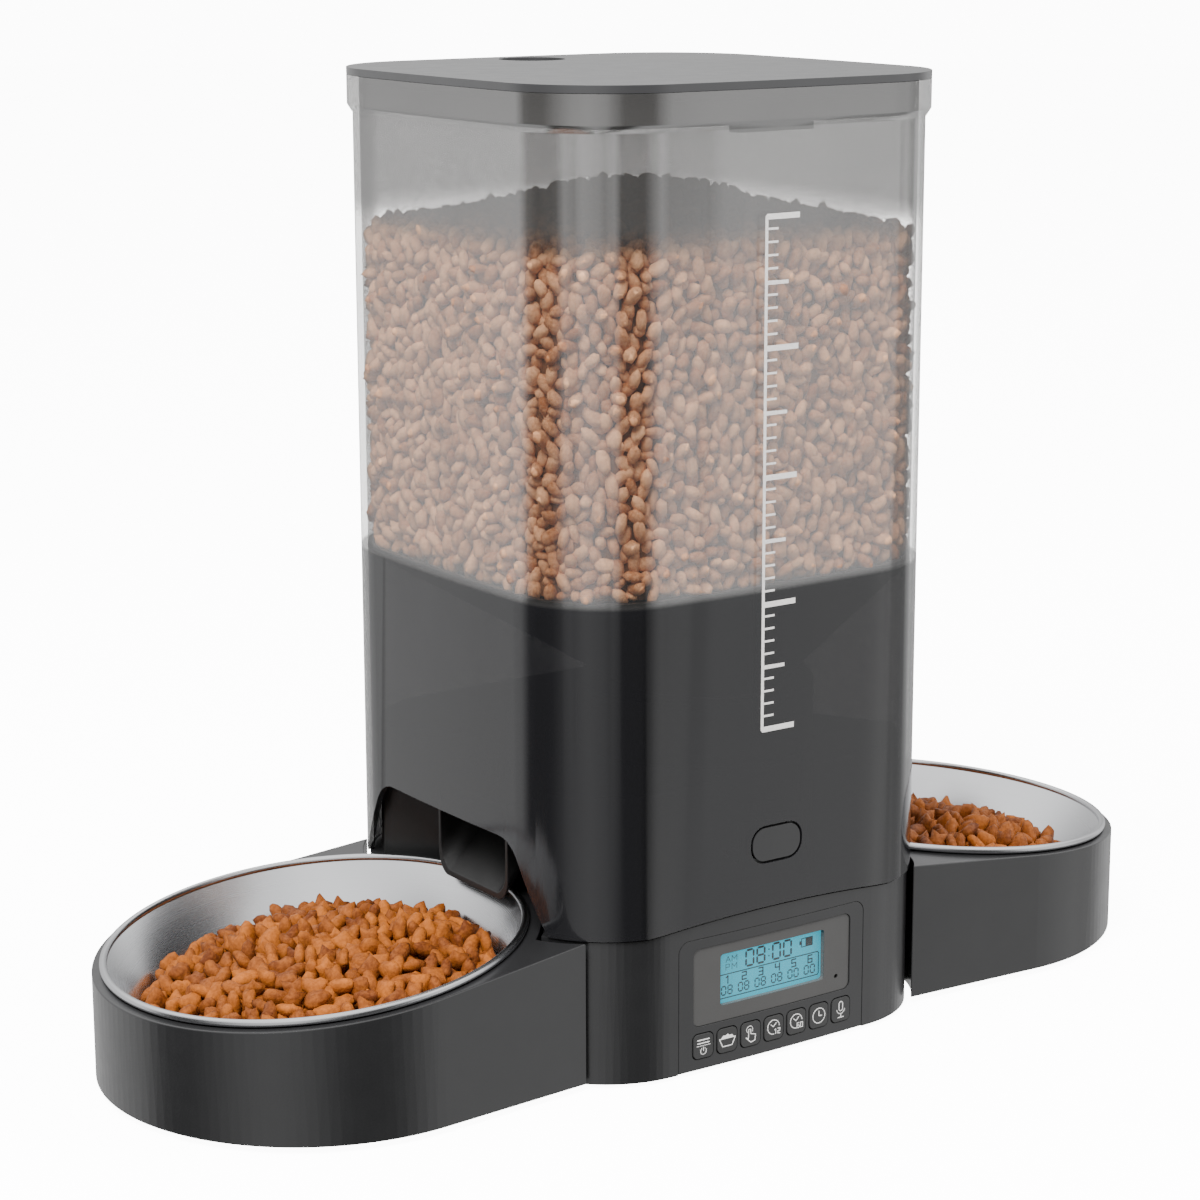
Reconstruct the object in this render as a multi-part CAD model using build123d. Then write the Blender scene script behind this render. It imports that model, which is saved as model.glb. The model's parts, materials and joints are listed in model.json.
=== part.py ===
from build123d import *
import math
import os

# Automatic pet feeder: a square tank on a base, with one bowl on each side.
# Millimetres, +Z up, origin on the floor under the middle of the feeder.
# X runs from bowl to bowl, and the display and keys face -Y.

# Overall
TOTAL_HEIGHT = 320.0
GAP = 0.3

# Rounded square outline with slightly bulged sides: half width, corner radius, bulge
TANK_HALF = 79.0
TANK_CORNER = 37.0
BASE_HALF = 78.3
BASE_CORNER = 37.0
RIM_HALF = 80.6
RIM_CORNER = 38.0
BULGE = 3.0

# Tank
SEAM_Z = 49.5
SEAM_GAP = 0.6
SEAM_ARCH_HALF = 50.0
SEAM_ARCH_RISE = 2.6
TANK_WALL = 2.2
RIM_TOP_Z = 317.4
RIM_BAND = 9.5
RIM_STEP = 2.5
ARCH_TOP_Z = 79.0
ARCH_TOP_HALF = 40.0
ARCH_FOOT_HALF = 59.0
ARCH_CORNER = 12.0
FUNNEL_TOP_Z = 160.0
FUNNEL_BOTTOM_Z = 121.0
FUNNEL_WALL = 2.0

# Rotor and its housing, off centre towards the front
ROTOR_Y = -34.0
ROTOR_R = 36.5
ROTOR_VANES = 6
ROTOR_BOTTOM_Z = 103.5
ROTOR_TOP_Z = 118.0
METER_R = 39.5
METER_BOTTOM_Z = 100.0
METER_WALL = 2.0
DROP_INNER_R = 12.5
DROP_OUTER_R = 35.0
DROP_ANGLE = 50.0
INLET_R = 22.0
INLET_Y = -42.0

# Pedestal of the base, under the tank skirt
DECK_Z = 97.0
PEDESTAL_HALF = 74.6
PEDESTAL_CORNER = 34.5
PEDESTAL_WALL = 2.2
BASE_WALL = 2.2
BITE_R = 75.0

# Bowls and holders
BOWL_X = 128.2
BOWL_R = 69.9
BOWL_RIM_Z = 45.6
BOWL_TILT = 5.56
BOWL_DEPTH = 34.0
BOWL_FOOT_R = 53.0
BOWL_SHEET = 0.8
RIM_BEAD_R = 1.3
HOLDER_R = 72.1
HOLDER_HALF_Y = 68.2
HOLDER_END_X = 66.0
HOLDER_TOWER_GAP = 2.2
HOLDER_BOTTOM_Z = 2.2
HOLDER_WALL = 2.0
HOLDER_TONGUE_R = 73.6
HOLDER_TONGUE_X = 82.9
HOLDER_DECK = 2.0
HOLDER_DROP = 1.4
HOLDER_LEDGE = 1.0

# Chutes
CHUTE_HALF = 21.5
CHUTE_WALL = 1.5
CHUTE_MOUTH_X = 67.5
CHUTE_LIP_Z = 50.2
CHUTE_SLOPE = 27.0
CHUTE_NOSE_X = 54.0
CHUTE_NOSE_SLOPE = 45.0
CHUTE_ROOF_Z = 84.0
CHUTE_STEP_X = 35.0
CHUTE_ROUND = 6.0
SPLIT_HALF = 11.0

# Rear of the base
SPEAKER_X = 56.5
USB_Z = 14.0

# Front controls
FASCIA_HALF = 38.4
FASCIA_BOTTOM_Z = 1.5
FASCIA_TOP_Z = 46.4
FASCIA_CORNER = 4.0
BEZEL_HALF = 32.5
BEZEL_BOTTOM_Z = 16.5
BEZEL_TOP_Z = 43.0
BEZEL_CORNER = 2.5
LCD_HALF = 21.6
LCD_BOTTOM_Z = 21.7
LCD_TOP_Z = 39.3
KEY_PITCH = 9.6
KEY_WIDE = 7.8
KEY_TALL = 8.3
KEY_Z = 9.6
KEY_CORNER = 1.8
KEY_NAMES = [
    "key_meal_power",
    "key_portion",
    "key_manual_feed",
    "key_hour",
    "key_minute",
    "key_clock",
    "key_record",
]
RELEASE_HALF = 9.75
RELEASE_TALL = 11.2
RELEASE_Z = 74.0
RELEASE_CORNER = 5.0
RELEASE_GAP = 0.8

# Gears: module, teeth, and centres
GEAR_MODULE = 0.8
OUTPUT_TEETH = 24
REDUCTION_TEETH = 30
PINION_TEETH = 12
GEAR_Z = 86.0
GEAR_FACE = 5.0
REDUCTION_ANGLE = 205.0
PINION_ANGLE = 213.0

# Cells and feet
CELL_R = 13.0
CELL_LENGTH = 49.0
CELL_Z = 21.0
CELL_PITCH = 26.8
CELL_Y = 34.0
FOOT_R = 6.0
FOOT_TALL = 2.6

# Rotor shaft and drive dog
SHAFT_R = 4.0
SHAFT_PLAY = 0.08
HUB_R = 9.0
VANE_THICK = 2.4
SOCKET_R = 6.5
DOG_R = 2.6

# Pocket behind the release button
LATCH_POCKET_HALF = 18.0
LATCH_POCKET_Y = 68.0
LATCH_POCKET_Z = 58.0

# Lid
LID_SKIRT_HALF = 75.4
LID_SKIRT_DEEP = 11.0
LID_TAB_HALF = 14.0
LID_TAB_DEEP = 2.5
LID_SKIRT_WALL = 1.8
FINGER_Y = 62.0
FINGER_R = 11.5
FINGER_DEEP = 6.0
DRY_BOX_HALF = 30.0
DRY_BOX_DEEP = 14.0

# Bottom of the base
DOOR_HALF_X = 44.0
DOOR_Y0 = 4.0
DOOR_Y1 = 62.0
DOOR_TRAVEL = 7.0
PLATE_LOW = 1.6
PLATE_HIGH = 3.6
SCREW_SPOTS = [(-62, -48), (62, -48), (-62, 48), (62, 48), (0, -58)]
FOOT_SPOTS = [(-52, -60), (52, -60), (-52, 62), (52, 62)]

# Board, microphone and gear plate
MIC_X = 27.0
MIC_Z = 21.6
BOARD_Y = -67.0
CHUTE_PLATE_Y = -22.0


def outline(half, corner, bulge=BULGE):
    """Closed rounded square whose four sides bulge outwards by an arc."""
    side_r = half * half / (2 * bulge)
    side_c = half - side_r
    drop = side_r - corner
    corner_c = (side_c + math.sqrt(2 * drop * drop - side_c * side_c)) / 2
    turn = math.degrees(math.atan2(corner_c, corner_c - side_c))

    def on_side(angle):
        spot = Vector(side_c, 0) + Vector(side_r, 0).rotate(Axis.Z, angle)
        return spot

    def on_corner(angle):
        spot = Vector(corner_c, corner_c) + Vector(corner, 0).rotate(Axis.Z, angle)
        return spot

    edges = []
    for quarter in range(4):
        spin = 90.0 * quarter
        side = ThreePointArc(on_side(-turn), on_side(0), on_side(turn))
        bend = ThreePointArc(on_corner(turn), on_corner(45), on_corner(90 - turn))
        edges.append(side.rotate(Axis.Z, spin))
        edges.append(bend.rotate(Axis.Z, spin))
    return make_face(edges)


def prism(half, corner, low, high):
    """The rounded square outline raised from one height to another."""
    return extrude(Pos(0, 0, low) * outline(half, corner), high - low)


def ring(half, corner, wall, low, high):
    """A hollow wall that follows the rounded square outline."""
    return prism(half, corner, low, high) - prism(half - wall, corner - wall, low - 1, high + 1)


def box(x0, x1, y0, y1, z0, z1):
    """A box between two opposite corners."""
    solid = Box(x1 - x0, y1 - y0, z1 - z0)
    return Pos((x0 + x1) / 2, (y0 + y1) / 2, (z0 + z1) / 2) * solid


def disc(radius, low, high, x=0.0, y=0.0):
    """An upright cylinder between two heights."""
    return Pos(x, y, (low + high) / 2) * Cylinder(radius, high - low)


def front_prism(sketch, z, y_front, y_back):
    """A sketch drawn as seen from the front, pushed back from y_front to y_back."""
    plane = Plane(origin=(0, y_back, z), x_dir=(1, 0, 0), z_dir=(0, -1, 0))
    return extrude(plane * sketch, y_back - y_front)


def seam_arch():
    """The lens of wall by which the seam rises at the middle of the front and back."""
    half = SEAM_ARCH_HALF
    rise = SEAM_ARCH_RISE
    arc_r = (half * half + rise * rise) / (2 * rise)
    rod = Pos(0, 0, SEAM_Z + rise - arc_r) * Rot(90, 0, 0) * Cylinder(arc_r, 2 * TANK_HALF + 20)
    window = box(-half, half, -TANK_HALF - 10, TANK_HALF + 10, SEAM_Z - 2, SEAM_Z + 2 * rise)
    return rod & window


def side_arch():
    """The tunnel, open at both sides, under which the bowls reach."""
    top = ARCH_TOP_Z
    sketch = Polyline(
        (-ARCH_FOOT_HALF, SEAM_Z - 4),
        (-ARCH_TOP_HALF, top),
        (ARCH_TOP_HALF, top),
        (ARCH_FOOT_HALF, SEAM_Z - 4),
        close=True,
    )
    face = make_face(sketch)
    upper = face.vertices().sort_by(Axis.Y)[-2:]
    face = fillet(upper, ARCH_CORNER)
    plane = Plane(origin=(-TANK_HALF - 10, 0, 0), x_dir=(0, 1, 0), z_dir=(1, 0, 0))
    return extrude(plane * face, 2 * TANK_HALF + 20)


def bites(radius, low, high):
    """The two round bites that the bowl holders fit into."""
    left = disc(radius, low, high, -BOWL_X)
    right = disc(radius, low, high, BOWL_X)
    return left + right


def drop_sector(low, high, inner, outer, spread):
    """A slice of a ring on the rear side of the rotor axis, where food falls."""
    annulus = disc(outer, low, high, 0, ROTOR_Y) - disc(inner, low, high, 0, ROTOR_Y)
    reach = outer * 2
    half = math.radians(spread / 2)
    wedge = Polyline(
        (0, 0),
        (-reach * math.sin(half), reach * math.cos(half)),
        (reach * math.sin(half), reach * math.cos(half)),
        close=True,
    )
    blade = extrude(Pos(0, ROTOR_Y, low) * make_face(wedge), high - low)
    return annulus & blade


# ---------------------------------------------------------------- tank

def tank_shell():
    low = SEAM_Z + SEAM_GAP
    body = prism(TANK_HALF, TANK_CORNER, low, RIM_TOP_Z)
    band = prism(RIM_HALF, RIM_CORNER, RIM_TOP_Z - RIM_BAND, RIM_TOP_Z)
    grow = RIM_HALF - TANK_HALF
    slope_face = Pos(0, 0, RIM_TOP_Z - RIM_BAND) * outline(RIM_HALF, RIM_CORNER)
    slope = extrude(slope_face, -RIM_STEP, taper=math.degrees(math.atan(grow / RIM_STEP)))
    shell = body + band + slope
    shell -= prism(TANK_HALF - TANK_WALL, TANK_CORNER - TANK_WALL, low - 1, RIM_TOP_Z + 1)
    shell -= side_arch()
    shell -= Pos(0, 0, SEAM_GAP) * seam_arch()
    hole = RectangleRounded(
        2 * (RELEASE_HALF + RELEASE_GAP),
        RELEASE_TALL + 2 * RELEASE_GAP,
        RELEASE_CORNER + RELEASE_GAP,
    )
    shell -= front_prism(hole, RELEASE_Z, -TANK_HALF - 5, -TANK_HALF + 15)
    return shell


def tank_funnel():
    """Square to round funnel that leads the food to the rotor inlet."""
    half = TANK_HALF - TANK_WALL - GAP / 3
    corner = TANK_CORNER - TANK_WALL - GAP / 3
    outer = loft([
        Pos(0, 0, FUNNEL_TOP_Z - 3) * outline(half, corner),
        Pos(0, INLET_Y + 6, FUNNEL_BOTTOM_Z) * Circle(INLET_R + FUNNEL_WALL + 4),
    ])
    inner = loft([
        Pos(0, 0, FUNNEL_TOP_Z - 3) * outline(half - FUNNEL_WALL, corner - FUNNEL_WALL),
        Pos(0, INLET_Y + 6, FUNNEL_BOTTOM_Z) * Circle(INLET_R + 1),
    ])
    outer += prism(half, corner, FUNNEL_TOP_Z - 3, FUNNEL_TOP_Z)
    inner += prism(half - FUNNEL_WALL, corner - FUNNEL_WALL, FUNNEL_TOP_Z - 3, FUNNEL_TOP_Z + 1)
    return outer - inner


def meter_housing():
    """Drum around the rotor, with a floor that has the drop hole."""
    drum = disc(METER_R, METER_BOTTOM_Z, FUNNEL_BOTTOM_Z - 2, 0, ROTOR_Y)
    drum -= disc(METER_R - METER_WALL, METER_BOTTOM_Z + METER_WALL, FUNNEL_BOTTOM_Z, 0, ROTOR_Y)
    drum -= drop_sector(METER_BOTTOM_Z - 1, METER_BOTTOM_Z + 3, DROP_INNER_R, DROP_OUTER_R, DROP_ANGLE)
    drum -= disc(SHAFT_R + SHAFT_PLAY, METER_BOTTOM_Z - 1, METER_BOTTOM_Z + 3, 0, ROTOR_Y)
    return drum


def meter_cover():
    """Lid of the drum, with the food inlet on the side away from the drop hole."""
    plate = disc(METER_R, FUNNEL_BOTTOM_Z - 2, FUNNEL_BOTTOM_Z, 0, ROTOR_Y)
    inlet = disc(METER_R - 4, FUNNEL_BOTTOM_Z - 3, FUNNEL_BOTTOM_Z + 1, 0, ROTOR_Y)
    inlet &= box(-METER_R, METER_R, -METER_R * 3, ROTOR_Y - 7, FUNNEL_BOTTOM_Z - 3, FUNNEL_BOTTOM_Z + 1)
    plate -= inlet & disc(INLET_R, FUNNEL_BOTTOM_Z - 3, FUNNEL_BOTTOM_Z + 1, 0, INLET_Y - 4)
    plate -= disc(SHAFT_R + SHAFT_PLAY, FUNNEL_BOTTOM_Z - 3, FUNNEL_BOTTOM_Z + 1, 0, ROTOR_Y)
    return plate


def rotor_wheel():
    """Vaned wheel that carries one portion of food at a time to the drop hole."""
    wheel = disc(HUB_R, ROTOR_BOTTOM_Z, ROTOR_TOP_Z - 0.6, 0, ROTOR_Y)
    for vane in range(ROTOR_VANES):
        blade = box(HUB_R - 2, ROTOR_R, -VANE_THICK / 2, VANE_THICK / 2, ROTOR_BOTTOM_Z, ROTOR_TOP_Z - 0.6)
        wheel += Pos(0, ROTOR_Y, 0) * Rot(0, 0, 60 * vane + 30) * blade
    wheel -= disc(SHAFT_R, ROTOR_BOTTOM_Z - 1, ROTOR_TOP_Z + 1, 0, ROTOR_Y)
    return wheel


def rotor_shaft():
    """Round shaft with a cross slot below for the drive dog."""
    shaft = disc(SHAFT_R, METER_BOTTOM_Z - 2.4, FUNNEL_BOTTOM_Z + 9, 0, ROTOR_Y)
    slot_top = METER_BOTTOM_Z - 0.4
    slot = box(-DOG_R - 2, DOG_R + 2, ROTOR_Y - 1.1, ROTOR_Y + 1.1, slot_top - 3, slot_top)
    return shaft - slot


def agitator():
    """Two bent stirring fingers above the rotor."""
    hub = disc(HUB_R - 2.5, FUNNEL_BOTTOM_Z + 2, FUNNEL_BOTTOM_Z + 8, 0, ROTOR_Y)
    finger = box(-16, 16, -1.5, 1.5, FUNNEL_BOTTOM_Z + 4, FUNNEL_BOTTOM_Z + 7)
    hub += Pos(0, ROTOR_Y, 0) * Rot(0, 0, 90) * finger
    hub -= disc(SHAFT_R, FUNNEL_BOTTOM_Z, FUNNEL_BOTTOM_Z + 10, 0, ROTOR_Y)
    return hub


# ---------------------------------------------------------------- release button

def release_button():
    """Push button in the tank front, curved like the wall it sits in."""
    cap_outline = RectangleRounded(2 * RELEASE_HALF, RELEASE_TALL, RELEASE_CORNER)
    cap = front_prism(cap_outline, RELEASE_Z, -TANK_HALF - 5, -TANK_HALF + 4)
    cap &= ring(TANK_HALF, TANK_CORNER, TANK_WALL, RELEASE_Z - 20, RELEASE_Z + 20)
    back = -TANK_HALF + TANK_WALL
    flange = box(-13, 13, back + 0.2, back + 1.4, RELEASE_Z - 7.6, RELEASE_Z + 7.6)
    neck_outline = RectangleRounded(2 * RELEASE_HALF - 1, RELEASE_TALL - 1, RELEASE_CORNER - 0.5)
    neck = front_prism(neck_outline, RELEASE_Z, back - 1.2, back + 1.0)
    nose = box(-4, 4, back + 1, back + 3.6, RELEASE_Z + 4.5, RELEASE_Z + 7.6)
    return cap + neck + flange + nose


def release_spring():
    """Bent leaf between two posts behind the button, part of the tank."""
    back = -TANK_HALF + TANK_WALL
    leaf = box(-16, 16, back + 4.3, back + 4.8, RELEASE_Z - 6, RELEASE_Z - 1)
    for side in (-1, 1):
        leaf += box(side * 15 - 1, side * 15 + 1, back + 0.4, back + 4.8, RELEASE_Z - 6, RELEASE_Z - 1)
    return leaf


def latch_catch():
    """Ledge on the pedestal that the button's nose hooks under."""
    back = -TANK_HALF + TANK_WALL
    return box(-4, 4, back + 4.0, -LATCH_POCKET_Y, RELEASE_Z + 8.6, RELEASE_Z + 11.6)


# ---------------------------------------------------------------- lid


def lid_panel():
    """Flat lid with a finger cup near its rear edge and a skirt with ribs below."""
    panel = prism(RIM_HALF, RIM_CORNER, RIM_TOP_Z + 0.1, TOTAL_HEIGHT)
    skirt_corner = RIM_CORNER - (RIM_HALF - LID_SKIRT_HALF)
    low = RIM_TOP_Z - LID_SKIRT_DEEP
    panel += ring(LID_SKIRT_HALF, skirt_corner, LID_SKIRT_WALL, low, RIM_TOP_Z + 0.5)
    front = -LID_SKIRT_HALF + 0.3
    for side in (-1, 1):
        rib_x = side * LID_TAB_HALF
        rib = box(rib_x - 0.8, rib_x + 0.8, front, front + 5, low - LID_TAB_DEEP, RIM_TOP_Z + 0.5)
        panel += rib
        panel += Rot(0, 0, 180) * rib
    panel += box(-LID_TAB_HALF, LID_TAB_HALF, front, front + LID_SKIRT_WALL, low - LID_TAB_DEEP, low + 1)
    panel += disc(FINGER_R + 1.8, TOTAL_HEIGHT - FINGER_DEEP - 1.8, TOTAL_HEIGHT - 0.5, 0, FINGER_Y)
    panel -= disc(FINGER_R, TOTAL_HEIGHT - FINGER_DEEP, TOTAL_HEIGHT + 1, 0, FINGER_Y)
    return panel


def lid_seal():
    """Soft ring around the lid skirt."""
    corner = RIM_CORNER - (RIM_HALF - LID_SKIRT_HALF)
    outer = prism(LID_SKIRT_HALF + 1.1, corner + 1.1, RIM_TOP_Z - 6, RIM_TOP_Z - 3)
    return outer - prism(LID_SKIRT_HALF + 0.02, corner + 0.02, RIM_TOP_Z - 7, RIM_TOP_Z - 2)


def desiccant_box():
    """Tray under the lid that holds the drying sachet."""
    low = RIM_TOP_Z - DRY_BOX_DEEP
    half = DRY_BOX_HALF
    tray = box(-half, half, -half, half, low + 2, RIM_TOP_Z + 0.08)
    tray -= box(-half + 1.6, half - 1.6, -half + 1.6, half - 1.6, low + 1, RIM_TOP_Z - 1.6)
    return tray


def desiccant_cover():
    """Slotted cover of the drying tray."""
    low = RIM_TOP_Z - DRY_BOX_DEEP
    half = DRY_BOX_HALF
    cover = box(-half, half, -half, half, low, low + 1.9)
    for index in range(-4, 5):
        cover -= box(index * 6 - 1, index * 6 + 1, -half + 6, half - 6, low - 1, low + 3)
    return cover


def desiccant_sachet():
    """Flat sachet of drying beads."""
    low = RIM_TOP_Z - DRY_BOX_DEEP
    sachet = box(-25, 25, -25, 25, low + 2.2, low + 8)
    return fillet(sachet.edges(), 2.5)


# ---------------------------------------------------------------- base

def base_housing():
    """Lower tub of the base with the round bites, open below."""
    low = 1.3
    tub = prism(BASE_HALF, BASE_CORNER, low, SEAM_Z) - bites(BITE_R, low - 1, SEAM_Z + 5)
    inner = prism(BASE_HALF - BASE_WALL, BASE_CORNER - BASE_WALL, low - 1, SEAM_Z - 2.2)
    inner -= bites(BITE_R + BASE_WALL, low - 2, SEAM_Z + 5)
    tub -= inner
    tub -= pedestal_core(SEAM_Z - 5, SEAM_Z + 5)
    lens = seam_arch() & ring(BASE_HALF, BASE_CORNER, BASE_WALL, SEAM_Z - 1, SEAM_Z + 5)
    tub += lens
    tub -= fascia_window(0.15)
    inlet = RectangleRounded(9.4, 4.0, 1.9)
    tub -= front_prism(inlet, USB_Z, BASE_HALF - 8, BASE_HALF + 5)
    for row in range(5):
        low_z = 15.2 + 4 * row
        tub -= box(SPEAKER_X - 6, SPEAKER_X + 6, BASE_HALF - 14, BASE_HALF + 5, low_z, low_z + 1.6)
    return tub


def pedestal_core(low, high):
    """Inner outline of the pedestal, used where it stands through the deck."""
    core = prism(PEDESTAL_HALF - PEDESTAL_WALL, PEDESTAL_CORNER - PEDESTAL_WALL, low, high)
    return core - bites(BITE_R + PEDESTAL_WALL, low - 1, high + 1)


def pedestal():
    """Tall inner tower that the tank skirt drops over; its bites face the bowls."""
    tower = prism(PEDESTAL_HALF, PEDESTAL_CORNER, SEAM_Z, DECK_Z) - bites(BITE_R, SEAM_Z - 1, DECK_Z + 1)
    tower -= pedestal_core(SEAM_Z - 1, DECK_Z - 2.4)
    half = LATCH_POCKET_HALF
    back = -LATCH_POCKET_Y
    tower += box(-half - 2, half + 2, -PEDESTAL_HALF + 1, back + 2, LATCH_POCKET_Z - 2, DECK_Z - 2)
    tower -= box(-half, half, -PEDESTAL_HALF - 5, back, LATCH_POCKET_Z, DECK_Z + 1)
    tower -= duct_block(CHUTE_MOUTH_X + 10, CHUTE_HALF + GAP / 3)
    tower -= drop_sector(DECK_Z - 4, DECK_Z + 1, DROP_INNER_R - 0.5, DROP_OUTER_R + 1, DROP_ANGLE + 3)
    tower -= disc(SOCKET_R + GAP, DECK_Z - 4, DECK_Z + 1, 0, ROTOR_Y)
    return tower


def nose_z(x):
    """Height of the underside of the steep nose that hangs over the bowl."""
    return CHUTE_LIP_Z + (CHUTE_MOUTH_X - abs(x)) * math.tan(math.radians(CHUTE_NOSE_SLOPE))


def chute_floor_z(x):
    """Height of the underside of the chute floor above the nose."""
    return nose_z(CHUTE_NOSE_X) + (CHUTE_NOSE_X - abs(x)) * math.tan(math.radians(CHUTE_SLOPE))


def side_view(points, y_half):
    """A closed outline in X and Z, made as wide as the duct along Y."""
    plane = Plane(origin=(0, y_half, 0), x_dir=(1, 0, 0), z_dir=(0, -1, 0))
    return extrude(plane * make_face(Polyline(*points, close=True)), 2 * y_half)


def duct_side(near, far, inset, y_half):
    """Filled side view of the duct between two distances from the middle."""
    lift = inset / math.cos(math.radians(CHUTE_SLOPE))
    nose_lift = inset / math.cos(math.radians(CHUTE_NOSE_SLOPE))
    steeper = math.tan(math.radians(CHUTE_NOSE_SLOPE)) - math.tan(math.radians(CHUTE_SLOPE))
    knee = CHUTE_NOSE_X + (nose_lift - lift) / steeper
    high = CHUTE_ROOF_Z + 7
    points = [
        (near, chute_floor_z(near) + lift),
        (knee, chute_floor_z(knee) + lift),
        (far, nose_z(far) + nose_lift),
        (far, CHUTE_ROOF_Z - inset),
        (CHUTE_STEP_X, CHUTE_ROOF_Z - inset),
        (CHUTE_STEP_X - 4, high + inset),
        (near, high + inset),
    ]
    return side_view(points, y_half)


def duct_block(far, y_half):
    """Both ducts as one filled shape, for cutting their way through the pedestal."""
    right = duct_side(SPLIT_HALF, far, -GAP / 3, y_half)
    return right + mirror(right, Plane.YZ)


def chute(side):
    """One sloping duct from under the deck to its mouth over the bowl."""
    outer = duct_side(SPLIT_HALF, CHUTE_MOUTH_X, 0, CHUTE_HALF)
    outer = soften_lip(outer)
    inner = duct_side(SPLIT_HALF - 3, CHUTE_MOUTH_X + 3, CHUTE_WALL, CHUTE_HALF - CHUTE_WALL)
    duct = outer - soften_lip(inner)
    if side < 0:
        duct = mirror(duct, Plane.YZ)
    return duct


def soften_lip(block):
    """Round the lower edges that run down the duct and its nose."""
    floors = [face for face in block.faces() if face.normal_at().Z < -0.5]
    edges = [edge for face in floors for edge in face.edges() if abs((edge @ 0).Y - (edge @ 1).Y) < 0.01]
    return fillet(edges, CHUTE_ROUND)


def splitter():
    """Ridge under the drop hole that halves each portion between the chutes."""
    z_low = chute_floor_z(SPLIT_HALF)
    z_top = z_low + SPLIT_HALF * math.tan(math.radians(CHUTE_SLOPE + 8))
    half = SPLIT_HALF - 0.02
    return side_view([(-half, z_low), (0, z_top), (half, z_low)], CHUTE_HALF)


def bottom_plate():
    """Plate that closes the base from below, with the cell door's opening."""
    half = BASE_HALF - BASE_WALL - GAP
    plate = prism(half, BASE_CORNER - BASE_WALL - GAP, PLATE_LOW, PLATE_HIGH)
    plate -= bites(BITE_R + BASE_WALL + GAP, PLATE_LOW - 1, PLATE_HIGH + 1)
    edge = DOOR_HALF_X + 0.4
    plate -= box(-edge, edge, DOOR_Y0 - 0.4, DOOR_Y1 + DOOR_TRAVEL + 0.4, PLATE_LOW - 1, PLATE_HIGH + 1)
    for x, y in SCREW_SPOTS:
        plate -= disc(1.7, PLATE_LOW - 1, PLATE_HIGH + 1, x, y)
    return plate


def base_screws():
    """Five pan head screws that hold the bottom plate."""
    screws = []
    for x, y in SCREW_SPOTS:
        head = disc(3.0, PLATE_LOW - 0.8, PLATE_LOW - 0.02, x, y)
        slot = box(x - 2, x + 2, y - 0.35, y + 0.35, PLATE_LOW - 1, PLATE_LOW - 0.4)
        cross = box(x - 0.35, x + 0.35, y - 2, y + 2, PLATE_LOW - 1, PLATE_LOW - 0.4)
        screws.append(head + disc(1.5, PLATE_LOW - 0.3, PLATE_HIGH + 9, x, y) - slot - cross)
    return Compound(children=screws)


def base_feet():
    """Rubber feet under the bottom plate."""
    feet = []
    for x, y in FOOT_SPOTS:
        foot = disc(FOOT_R, 0, PLATE_LOW - 0.02, x, y)
        feet.append(chamfer(foot.edges().sort_by(Axis.Z)[0], 0.4))
    return Compound(children=feet)


def battery_tray():
    """Open box for the cells, above the sliding door."""
    x = DOOR_HALF_X
    tray = box(-x, x, DOOR_Y0, DOOR_Y1 + 3, PLATE_HIGH + 0.3, CELL_Z + CELL_R + 3.4)
    tray -= box(-x + 1.6, x - 1.6, DOOR_Y0 + 1.6, DOOR_Y1 + 1.4, PLATE_HIGH - 1, CELL_Z + CELL_R + 1.8)
    return tray


def battery_cells():
    """Three dry cells lying side by side."""
    cells = []
    for index in (-1, 0, 1):
        body = Rot(90, 0, 0) * Cylinder(CELL_R, CELL_LENGTH)
        nub = Pos(0, CELL_LENGTH / 2 + 0.6, 0) * Rot(90, 0, 0) * Cylinder(3.2, 1.4)
        cell = Pos(index * CELL_PITCH, CELL_Y, CELL_Z) * (body + nub)
        cells.append(cell)
    return Compound(children=cells)


def battery_contacts():
    """Sheet contacts at both ends of the cells."""
    pieces = []
    for index in (-1, 0, 1):
        x = index * CELL_PITCH
        pieces.append(box(x - 9, x + 9, DOOR_Y0 + 1.7, DOOR_Y0 + 2.5, CELL_Z - 8, CELL_Z + 8))
        pieces.append(box(x - 9, x + 9, DOOR_Y1 + 0.5, DOOR_Y1 + 1.3, CELL_Z - 8, CELL_Z + 8))
    return Compound(children=pieces)


def battery_door():
    """Sliding door under the cells, with a ribbed thumb patch."""
    door = box(-DOOR_HALF_X, DOOR_HALF_X, DOOR_Y0, DOOR_Y1, PLATE_LOW, PLATE_HIGH)
    for row in range(5):
        door -= box(-14, 14, 10 + 3 * row, 11.2 + 3 * row, PLATE_LOW - 1, PLATE_LOW + 0.6)
    return door


# ---------------------------------------------------------------- front controls

def front_band(half_width, low, high, y_out, y_in):
    """A strip of the base wall outline, limited in width and height."""
    strip = prism(y_out, BASE_CORNER - BASE_HALF + y_out, low, high)
    strip -= prism(y_in, BASE_CORNER - BASE_HALF + y_in, low - 1, high + 1)
    return strip & box(-half_width, half_width, -BASE_HALF - 5, -BASE_HALF + 12, low, high)


def fascia_window(margin):
    """Block with the fascia's outline, rounded at its two upper corners."""
    tall = 2 * (FASCIA_TOP_Z + margin)
    face = RectangleRounded(2 * (FASCIA_HALF + margin), tall, FASCIA_CORNER + margin)
    return front_prism(face, 0, -BASE_HALF - 5, -BASE_HALF + 12)


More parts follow.
